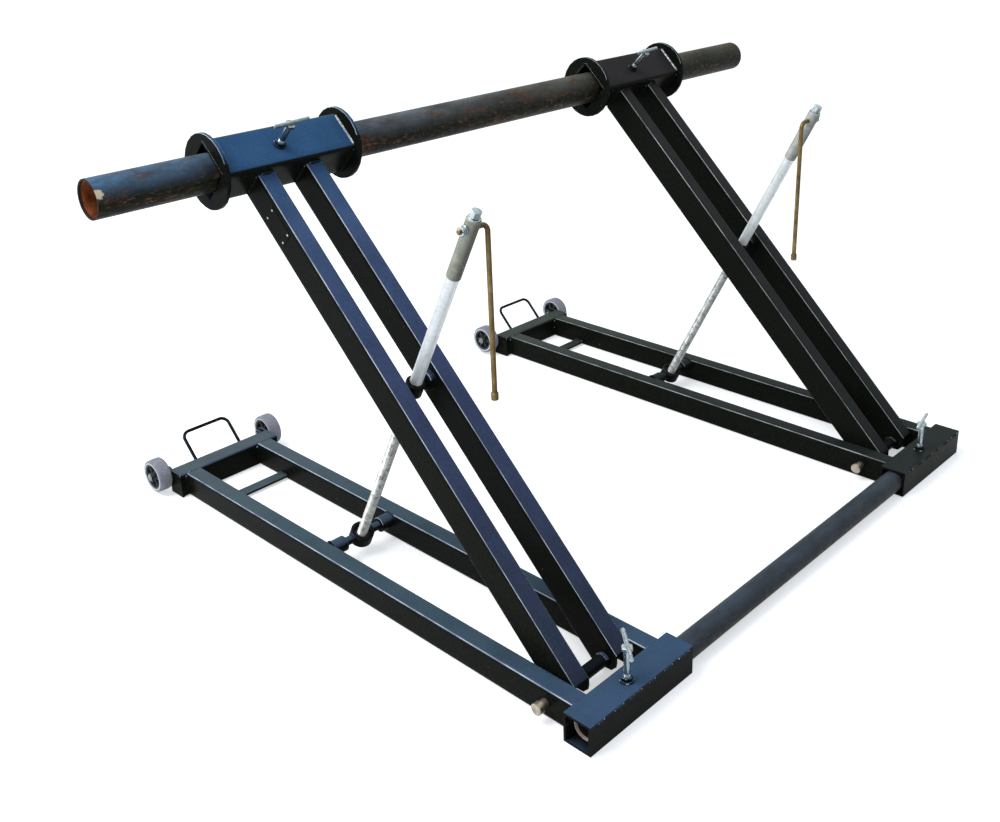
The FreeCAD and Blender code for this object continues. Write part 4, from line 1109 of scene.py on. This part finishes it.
def ring_bosses(side):
    """The rings on the arms' inner faces that hold the stubs of the lift nut."""
    node = f"{side}_arm_bosses"
    centre, gap = (low(node) + high(node)) / 2, half_width(node)
    shells = []
    for sign in (-1, 1):
        inner = centre + Y * sign * gap
        shells.append(turned(pipe_profile(RING_LENGTH, 19 * MM, 12.7 * MM, 0.8 * MM),
                             inner, -sign * Y, hollow=True))
        shells.append(weld_ring(inner, Y, 19.3 * MM, 2.0 * MM, seed=sign))
    piece(f"{side}_rings", f"{side}_arm", with_material(ENAMEL[side], *shells), [node])


def hinge_sleeve(side):
    """The spacer on the hinge pin between the arms, with a nut at its far end."""
    hinge, gap = place_of(f"{side}_arm_lift"), half_width(f"{side}_arm_bosses")
    sleeve = turned(pipe_profile(2 * gap - SLEEVE_NUT, 13 * MM, PIN_BORE, 0.6 * MM),
                    hinge - Y * gap, Y, hollow=True)
    end_nut = hexagon(hinge + Y * (gap - SLEEVE_NUT), Y, M18_FLATS, SLEEVE_NUT, bore=PIN_BORE)
    piece(f"{side}_sleeve", f"{side}_arm",
          with_material(BAR_ENAMEL, sleeve) + with_material(ENAMEL[side], end_nut),
          [f"{side}_hinge_sleeve"])


print("frame and arm recipes ready")

# %% [markdown]
# Two things on the floor frame carry what moves: the pipe stubs hold the foot of the screw, and the
# hinge pin, with its chromate head, holds the arms. Both are turned parts, spun from a profile.

# %% Cup bosses and hinge pin
def cup_bosses(side):
    """The two pipe stubs on the rails that carry the foot of the screw."""
    node, cup = f"{side}_cup_bosses", place_of(f"{side}_screw_tilt")
    length = 33 * MM
    shells = []
    for sign in (-1, 1):
        root = cup + Y * sign * half_width(node)
        shells.append(turned(pipe_profile(length, 17 * MM, 9.55 * MM, 0.8 * MM), root, -sign * Y,
                             hollow=True))
        shells.append(weld_ring(root - Y * sign * 0.6 * MM, Y, 17.2 * MM, 2.2 * MM, seed=sign))
    piece(f"{side}_pipe_stubs", f"{side}_base", with_material(ENAMEL[side], *shells), [node])


def hinge_pin(side):
    """The headed pin through rails and arms, its nut, and the washers beside the arms."""
    node, y = f"{side}_hinge_pin", middle_of(side)
    hinge, frame_half = place_of(f"{side}_arm_lift"), half_width(f"{side}_base_rails")
    start, end = low(node)[1] - y, high(node)[1] - y
    head, neck, shank = 11.5 * MM, 9 * MM, end - start
    head_end = -frame_half - 12 * MM - start
    profile = [(0, 7.5 * MM), (0.5 * MM, head - 1.6 * MM), (1.6 * MM, head),
               (head_end - 1.2 * MM, head), (head_end, head - 1.2 * MM), (head_end, neck),
               (shank - 1.2 * MM, neck), (shank, neck - 1.2 * MM)]
    inner = low(f"{side}_cup_bosses")[1] - y
    parts = with_material(PALE_CHROMATE, turned(profile, hinge + Y * start, Y))
    parts += with_material(ZINC, hexagon(hinge + Y * frame_half, Y, M18_FLATS, 12 * MM, 8.9 * MM))
    washer = pipe_profile(-inner - ARM_SPREAD - 0.3 * MM, 15 * MM, 8.95 * MM, 0.4 * MM)
    parts += with_material(ZINC, turned(washer, hinge + Y * inner, Y, hollow=True),
                           turned(washer, hinge - Y * inner, -Y, hollow=True))
    piece(f"{side}_pin", f"{side}_base", parts, [node])


# %% [markdown]
# A wheel turns on a shoulder bolt. The nut is inside the end plate, and the shoulder keeps the wheel
# off the plate. Wheel and nut hide the thread, so the shank is left plain.

# %% Axle bolts
M10_FLATS = 17 * MM
AXLE_RADIUS = 5 * MM
AXLE_HEAD = 6.4 * MM
AXLE_NUT = 8 * MM


def axle_bolts(side):
    """A bolt for each wheel: its nut is inside the lug, and a shoulder outside spaces the wheel."""
    node, tyre = f"{side}_axle_bolts", f"{side}_near_wheel_tyre"
    middle = place_of(f"{side}_near_wheel_spin") * [1, 0, 1] + Y * middle_of(side)
    lug = half_width(f"{side}_rear_crossmember")
    grip = half_width(node) - AXLE_HEAD
    spacer = grip - lug - (high(tyre)[1] - low(tyre)[1]) - 0.6 * MM
    tip = lug - LUG - AXLE_NUT - 3 * MM
    profile = [(0, AXLE_RADIUS - 0.8 * MM), (0.8 * MM, AXLE_RADIUS), (lug - tip, AXLE_RADIUS),
               (lug - tip, 8 * MM), (lug - tip + spacer - 0.5 * MM, 8 * MM),
               (lug - tip + spacer, 7.5 * MM), (lug - tip + spacer, AXLE_RADIUS),
               (grip - tip, AXLE_RADIUS)]
    face = [(0, 8.2 * MM), (0.35 * MM, 8.5 * MM), (0.7 * MM, 8.2 * MM)]
    shells, nuts = [], []
    for sign in (-1, 1):
        out = Y * sign
        shells += [turned(profile, middle + out * tip, out, 32),
                   hexagon(middle + out * grip, out, M10_FLATS, AXLE_HEAD),
                   turned(face, middle + out * (grip - 0.25 * MM), out, 32)]
        nuts.append(hexagon(middle + out * (lug - LUG - AXLE_NUT), out, M10_FLATS, AXLE_NUT,
                            4.95 * MM))
    piece(f"{side}_bolts", f"{side}_base",
          with_material(DULL_ZINC, *shells) + with_material(ENAMEL[side], *nuts), [node])


# %% [markdown]
# A wheel is a moulded hub with a rim, a web with ribs and a boss, and a tyre with a low crown and
# round shoulders. The ribs and the recess are what is seen from the side.

# %% Wheels
def wheel(side, where):
    """Hub and tyre of one wheel, as two pieces on the wheel's body."""
    body = f"{side}_{where}_wheel"
    hub, tyre = f"{body}_hub", f"{body}_tyre"
    centre = place_of(f"{body}_spin")
    width = high(tyre)[1] - low(tyre)[1]
    radius = (high(tyre)[2] - low(tyre)[2]) / 2
    rim = (high(hub)[2] - low(hub)[2]) / 2
    bore, boss, edge = 5.05 * MM, 9 * MM, 1.0 * MM
    inside, web = rim - 4 * MM, 4 * MM
    start = centre - Y * width / 2
    half_profile = [(0, bore), (0, boss - 0.6 * MM), (0.6 * MM, boss),
                    (width / 2 - web, boss + 0.8 * MM), (width / 2 - web, inside - 1.6 * MM),
                    (edge + 0.5 * MM, inside), (edge, inside + 0.5 * MM), (edge, rim)]
    mirrored = [(width - along, at) for along, at in half_profile[::-1]]
    shells = [turned(half_profile + mirrored, start, Y, 64, hollow=True)]
    rib = rounded_loop(inside - boss + 1.5 * MM, 3 * MM, 0.5 * MM, 2)
    for turn in np.linspace(0, 2 * np.pi, 6, endpoint=False):
        spoke = np.cos(turn) * X + np.sin(turn) * Z
        across = np.cos(turn) * Z - np.sin(turn) * X
        at = centre + spoke * (inside + boss) / 2
        ends = [at - Y * (width / 2 - 3 * MM), at + Y * (width / 2 - 3 * MM)]
        shells.append(shell(carried(ends, spoke, across, rib)))
    piece(f"{body}_moulding", body, with_material(NYLON, *shells), [hub])

    share = np.linspace(-1, 1, 25)
    drop = 2.6 * MM * np.clip((np.abs(share) - 0.76) / 0.24, 0, 1)**2.2
    crown = radius - 0.6 * MM * share**2 - drop
    along = width / 2 + share * width / 2
    sidewall = [(0.6 * MM, rim), (0.15 * MM, rim + 0.6 * MM), (0, radius - 5 * MM)]
    far_side = [(width - along_at, at) for along_at, at in sidewall[::-1]]
    profile = sidewall + list(zip(along.tolist(), crown.tolist())) + far_side
    lip = [(0.5 * MM, rim + 0.3 * MM), (-0.1 * MM, rim + 0.7 * MM), (-0.1 * MM, rim + 3.6 * MM),
           (0.4 * MM, rim + 4.2 * MM)]
    # the pale lips are a painted highlight
    lips = [turned(lip, start, Y, 80, hollow=True),
            turned(lip, start + Y * width, -Y, 80, hollow=True)]
    piece(f"{body}_rubber", body,
          with_material(RUBBER, turned(profile, start, Y, 80, hollow=True))
          + with_material(LIT_LIP_RUBBER, *lips), [tyre])


# %% [markdown]
# The screw strut hangs between the floor frame and the arms: a cup with a thrust bearing, a
# trapezoidal thread, a plain drive tube and a head with a hexagon on top. Thread and grease are the
# details that show how it works, so the thread is a real helix.

# %% Screw strut
SCREW_PITCH = 5 * MM
SCREW_RADIUS = 11 * MM
TUBE_FOOT = 479.0 * MM       # these three are distances from the pivot of the cup
HEAD_LOW = 748 * MM
HEAD_HIGH = 878 * MM


def along_screw(side, distance):
    """A point on the screw's axis, measured from the pivot of the cup."""
    return place_of(f"{side}_screw_tilt") + SCREW_UP * distance


def screw_cup(side):
    """The cup with a stub on each side that turns in the rails' bosses."""
    node, pivot = f"{side}_screw_cup", along_screw(side, 0)
    span = 2 * (place_of(f"{side}_screw_tilt")[1] - low(node)[1])
    cup = [(-16, 8), (-16, 23.5), (-14, 25.5), (10.5, 25.5), (12, 24.2), (12, 18.2), (11, 17),
           (-11, 17), (-11, 8)]
    closed = np.vstack([np.array(cup) * MM, [(-11 * MM, 0.5 * MM), (-16 * MM, 0.5 * MM)]])
    stub = bevelled_rod(span / 2 - 24 * MM, 9.5 * MM, 1.0 * MM)
    stubs = [turned(stub, pivot - Y * span / 2, Y), turned(stub, pivot + Y * span / 2, -Y)]
    rings = [weld_ring(pivot + Y * sign * 25.3 * MM, Y, 9.9 * MM, 2 * MM) for sign in (-1, 1)]
    bowl = turned(closed, pivot, SCREW_UP, 64, hollow=True)
    piece(f"{side}_cup", f"{side}_screw_foot", with_material(BAR_ENAMEL, bowl)
          + with_material(ENAMEL[side], *stubs, *rings), [node])


def thrust_bearing(side):
    """The ring that carries the screw, in a packing of grease with a round top."""
    ring = pipe_profile(6 * MM, 16.9 * MM, 6.1 * MM, 0.5 * MM)
    smear = [(3.5 * MM + 4.5 * MM * np.sin(turn), 14 * MM + 2.7 * MM * np.cos(turn))
             for turn in np.linspace(0, np.pi, 7)]
    packing = [(-4.8 * MM, 16.8 * MM)] + smear + [(-4.8 * MM, 11.2 * MM)]
    piece(f"{side}_bearing", f"{side}_screw_foot",
          with_material(ZINC, turned(ring, along_screw(side, -11 * MM), SCREW_UP, hollow=True))
          + with_material(GREASE, turned(packing, along_screw(side, 0), SCREW_UP, 56, hollow=True)),
          [f"{side}_thrust_bearing"])


def lift_screw(side):
    """The threaded rod with its spigot in the bearing, and the drive tube on top of it."""
    piece(f"{side}_thread", f"{side}_screw", with_material(
        GREASED, threaded_rod(along_screw(side, -4.4 * MM), SCREW_UP, TUBE_FOOT + 4.2 * MM,
                              SCREW_RADIUS, SCREW_PITCH, 1.7 * MM, per_turn=10),
        turned(bevelled_rod(6.8 * MM, 6 * MM, 0.6 * MM), along_screw(side, -10.6 * MM), SCREW_UP)),
        [f"{side}_lift_screw"])
    tube = pipe_profile(HEAD_LOW + 20 * MM - TUBE_FOOT, 12.5 * MM, 10.1 * MM, 0.7 * MM)
    piece(f"{side}_tube", f"{side}_screw", with_material(
        GALVANISED, turned(tube, along_screw(side, TUBE_FOOT), SCREW_UP, 56, hollow=True)),
        [f"{side}_drive_tube"])


def drive_head(side):
    """The turned head that the crank goes through, and the hexagon on top of it."""
    length = HEAD_HIGH - HEAD_LOW
    profile = [(0, 12.6 * MM), (0, 13.2 * MM), (1.0 * MM, 14 * MM), (length - 1.4 * MM, 14 * MM),
               (length, 12.6 * MM)]
    piece(f"{side}_head", f"{side}_screw", with_material(
        DULL[side], turned(profile, along_screw(side, HEAD_LOW), SCREW_UP, 56),
        weld_ring(along_screw(side, HEAD_LOW), SCREW_UP, 13.0 * MM, 1.1 * MM, 2.5 * MM)),
        [f"{side}_drive_head"])
    collar = [(0, 11.5 * MM), (0.3 * MM, 12.5 * MM), (2.4 * MM, 12.5 * MM), (3 * MM, 11.6 * MM)]
    piece(f"{side}_hexagon", f"{side}_screw", with_material(
        ZINC, turned(collar, along_screw(side, HEAD_HIGH), SCREW_UP, 48),
        hexagon(along_screw(side, HEAD_HIGH + 3 * MM), SCREW_UP, 18 * MM, 14 * MM)),
        [f"{side}_hex_head"])
    top = high(f"{side}_hex_head")[2]
    print(side, "strut top", round(float(top), 3), "m above the floor")


# %% [markdown]
# The lift nut climbs the screw between the arms. It is a turned block with a stub on each side, dark
# with paint and old grease like the rest of the frame.

# %% Lift nut and crank
NUT_REACH = 612 * MM
CRANK_BORE = 5.02 * MM


def lift_nut(side):
    """Nut block, its two stubs and their washers."""
    node, body = f"{side}_lift_nut", f"{side}_nut"
    pivot = place_of(f"{side}_arm_lift") + ARM_UP * NUT_REACH
    pivot[1] = middle_of(side)
    half = half_width(node)
    block = [(0, 11.1 * MM), (0, 17.6 * MM), (1.4 * MM, 19 * MM), (28.6 * MM, 19 * MM),
             (30 * MM, 17.6 * MM), (30 * MM, 11.1 * MM)]
    shells = [turned(block, pivot - SCREW_UP * 19 * MM, SCREW_UP, 56, hollow=True)]
    for sign in (-1, 1):
        stub = bevelled_rod(half - 16 * MM, 8 * MM, 0.8 * MM)
        shells.append(turned(stub, pivot + Y * sign * half, -sign * Y, 40))
        shells.append(weld_ring(pivot + Y * sign * 18.7 * MM, Y, 8.6 * MM, 2.0 * MM, seed=sign))
        washer = bevelled_rod(2 * MM, 17 * MM, 0.4 * MM)
        shells.append(turned(washer, pivot + Y * sign * (half - 9.3 * MM), -sign * Y, 40))
    piece(f"{side}_nut_block", body, with_material(BAR_ENAMEL, *shells), [node])


def crank(side, sign):
    """Bent bar, washer, nut and the collar at the end of the leg; sign is the side of the leg."""
    node, body = f"{side}_crank_handle", f"{side}_crank"
    hole = place_of(f"{side}_crank_swing")
    drop = hole[2] - low(node)[2]
    reach, bend, radius = 40 * MM, 14 * MM, 5 * MM
    out = Y * sign
    corners = [hole - out * 30 * MM, hole + out * reach, hole + out * reach - Z * (drop - 2 * MM)]
    bar = round_bar(bent_path(corners, bend, 14), X, radius, 28, 1.2 * MM)
    collar = [(0, 5.4 * MM), (0.6 * MM, 6.2 * MM), (1.4 * MM, 7 * MM), (13.8 * MM, 7 * MM),
              (15 * MM, 6 * MM), (15 * MM, 5 * MM)]
    socket = turned(collar, corners[2] - Z * 2 * MM, Z, 40)
    washer = pipe_profile(2.5 * MM, 10 * MM, CRANK_BORE, 0.4 * MM)
    face = hole - out * 14.3 * MM
    piece(f"{side}_crank_bar", body,
          with_material(CHROMATE, bar, socket)
          + with_material(ZINC, turned(washer, face, -out, 40, hollow=True),
                          hexagon(face - out * 2.5 * MM, -out, M10_FLATS, 8 * MM,
                                  CRANK_BORE)), [node])


# %% [markdown]
# The spindle and the tie tube are plain pipe. The black scale stops at the sawn end. The spindle's
# rim is brown and its bore orange; the tie tube's rim is bare steel and its bore brown. So each
# pipe is three nested shells, one for each finish.

# %% Spindle and tie tube
def plain_pipe(name, node, body, radius, wall, outside, rim, bore):
    """Three nested pipes, one for each finish: a skin, a core that shows as the sawn rim, and a
    thin lining that starts a little way in."""
    start, end = low(node), high(node)
    length = end[1] - start[1]
    centre = (start + end) / 2 - Y * length / 2
    skin, lining = wall * 0.15, wall * 0.12
    layers = [(outside, radius, radius - skin, 0),
              (rim, radius - skin, radius - wall + lining, 0.05 * MM),
              (bore, radius - wall + lining, radius - wall, 5 * MM)]
    parts = []
    for finish, outer, inner, inset in layers:
        profile = pipe_profile(length - 2 * inset, outer, inner, 0.2 * MM)
        parts += with_material(finish, turned(profile, centre + Y * inset, Y, 96, hollow=True))
    piece(name, body, parts, [node])
    print(name, "radius", round(radius * 1000, 2), "mm, length", round(length, 3), "m")


# %% [markdown]
# The two jacks are twins, so the same recipes make both. A linked copy would be shorter, but each jack
# rides on its own bodies and wears its own painted reflection of the sky.

# %% Make every piece
FRAME_PARTS = (rails, rear_tube, tie_strip, carry_handle, frame_welds, toe_box, cup_bosses,
               hinge_pin, axle_bolts)
ARM_PARTS = (arm_tubes, spindle_box, arm_welds, ring_bosses, hinge_sleeve)
STRUT_PARTS = (screw_cup, thrust_bearing, lift_screw, drive_head, lift_nut)
for jack, crank_side in (("left", 1), ("right", -1)):
    for make in FRAME_PARTS:
        make(jack)
    for where in ("near", "far"):
        wheel(jack, where)
    for make in ARM_PARTS + STRUT_PARTS:
        make(jack)
    crank(jack, crank_side)
    clamp(jack, "toe", Z)
    clamp(jack, "box", ARM_OUT)
plain_pipe("spindle", "spindle_tube", "spindle", 38.05 * MM, 4 * MM, SCALE, BROWN_RUST, RUST)
plain_pipe("tie_pipe", "tie_tube", "tie_tube", 24.15 * MM, 3.2 * MM, TIE_SCALE, BARE, BROWN_RUST)

# %% [markdown]
# The photograph is a cut-out on white, lit by an overcast sky: white above, soft shadows, and a
# blue-grey sky in every flat surface that faces up. The floor is a pale sheet that shows as white to
# the camera where nothing shades it, and keeps a soft shadow under the jacks.

# %% Floor and sky
FLOOR_GLOW = 0.5
SKY_STRENGTH = 0.75


def pale_floor():
    """Matt paper: diffuse light with a little glow for the camera and for reflections only."""
    made, tree, shader, where = start_material("pale_floor", Roughness=0.9, Specular_IOR_Level=0.2)
    clouds = add(tree, "TexNoise", "Fac", {"Vector": where, "Scale": 1.2})
    paper = add(tree, "ValToRGB", "Color", {"Fac": clouds}, [(0.3, "#e6e8ea"), (0.7, "#eceeef")])
    tree.links.new(paper, shader.inputs["Base Color"])
    path = add(tree, "LightPath")
    seen = add(tree, "Math", "Value", {0: path.outputs["Is Camera Ray"],
                                       1: path.outputs["Is Glossy Ray"]}, operation="MAXIMUM")
    seen = add(tree, "Math", "Value", {0: seen, 1: path.outputs["Is Transmission Ray"]},
               operation="MAXIMUM")
    glow = add(tree, "Math", "Value", {0: seen, 1: FLOOR_GLOW}, operation="MULTIPLY")
    tree.links.new(glow, shader.inputs["Emission Strength"])
    shader.inputs["Emission Color"].default_value = (1, 1, 1, 1)
    return made


FLOOR_HALF = 40.0
corners = np.array([(-1, -1, 0), (1, -1, 0), (1, 1, 0), (-1, 1, 0)])
grid = corners * [FLOOR_HALF, FLOOR_HALF, 0] - Z * 0.6 * MM
floor_mesh = bpy.data.meshes.new("floor")
floor_mesh.from_pydata(grid.tolist(), [], [[0, 1, 2, 3]])
floor_mesh.materials.append(pale_floor())
floor = bpy.data.objects.new("floor", floor_mesh)
bpy.context.scene.collection.objects.link(floor)

world = bpy.data.worlds.new("overcast")
bpy.context.scene.world = world
world.use_nodes = True
tree = world.node_tree
tree.nodes.clear()
path = add(tree, "LightPath")
height = add(tree, "SeparateXYZ", "Z", {"Vector": add(tree, "TexCoord", "Generated")})
steps = add(tree, "MapRange", "Result", {"Value": height, "From Min": -0.1, "From Max": 0.9})
sky_colour = add(tree, "ValToRGB", "Color", {"Fac": steps}, [(0.0, "#f3f5f7"), (1.0, "#dfe9f5")])
white = add(tree, "Background", "Background", {"Color": (1, 1, 1, 1), "Strength": 1.0})
sky = add(tree, "Background", "Background", {"Color": sky_colour, "Strength": SKY_STRENGTH})
seen = path.outputs["Is Camera Ray"]
for kind in ("Is Glossy Ray", "Is Transmission Ray"):
    seen = add(tree, "Math", "Value", {0: seen, 1: path.outputs[kind]}, operation="MAXIMUM")
both = add(tree, "MixShader", "Shader", {0: seen, 1: sky, 2: white})
add(tree, "OutputWorld", None, {"Surface": both})
print("sky ready")

# %% [markdown]
# One broad soft lamp stands for the bright part of the sky, high to the front left of the camera. A
# lamp that is large beside the object gives soft highlights and a soft shadow.

# %% Lamp
from mathutils import Matrix, Vector


def soft_lamp(name, place, target, width, power, colour):
    """A square area lamp that points from its place to a target."""
    data = bpy.data.lights.new(name, "AREA")
    data.shape = "SQUARE"
    data.size = width
    data.energy = power
    data.color = linear(colour)[:3]
    lamp = bpy.data.objects.new(name, data)
    aim = Vector(target) - Vector(place)
    lamp.matrix_world = Matrix.Translation(place) @ aim.to_track_quat("-Z", "Y").to_matrix().to_4x4()
    bpy.context.scene.collection.objects.link(lamp)


soft_lamp("sky_lamp", (-1.2, -2.6, 4.2), (0, 0, 0.3), 3.0, 160, "#ffffff")

# %% [markdown]
# The camera stands where the photographer stood. Its direction, lens and shift come from a fit of
# the frame's own corners to the photograph. Shift moves the image without turning the camera.

# %% Camera
AZIMUTH, ELEVATION, ROLL = radians(44.25), radians(21.38), radians(-1.865)
TARGET = np.array([-0.5301, 0.3902, 0.1267])
DISTANCE = 3.3705
LENS = 40.61
SHIFT_X, SHIFT_Y = -0.02404, -0.0909
back = np.array([np.sin(AZIMUTH) * np.cos(ELEVATION), -np.cos(AZIMUTH) * np.cos(ELEVATION),
                 np.sin(ELEVATION)])
right = np.cross(-back, Z) / np.linalg.norm(np.cross(-back, Z))
up = np.cross(right, -back)
rolled_right = right * np.cos(ROLL) + up * np.sin(ROLL)
rolled_up = up * np.cos(ROLL) - right * np.sin(ROLL)
place = TARGET + back * DISTANCE
camera_data = bpy.data.cameras.new("camera")
camera_data.lens = LENS
camera_data.shift_x = SHIFT_X
camera_data.shift_y = SHIFT_Y
camera_data.clip_end = 200
camera = bpy.data.objects.new("camera", camera_data)
camera.matrix_world = Matrix([[*row, at] for row, at in
                              zip(np.stack([rolled_right, rolled_up, back], 1).tolist(), place)]
                             + [[0, 0, 0, 1]])
bpy.context.scene.collection.objects.link(camera)
bpy.context.scene.camera = camera
bpy.context.scene.view_settings.view_transform = "Standard"
print("camera at", place.round(2))
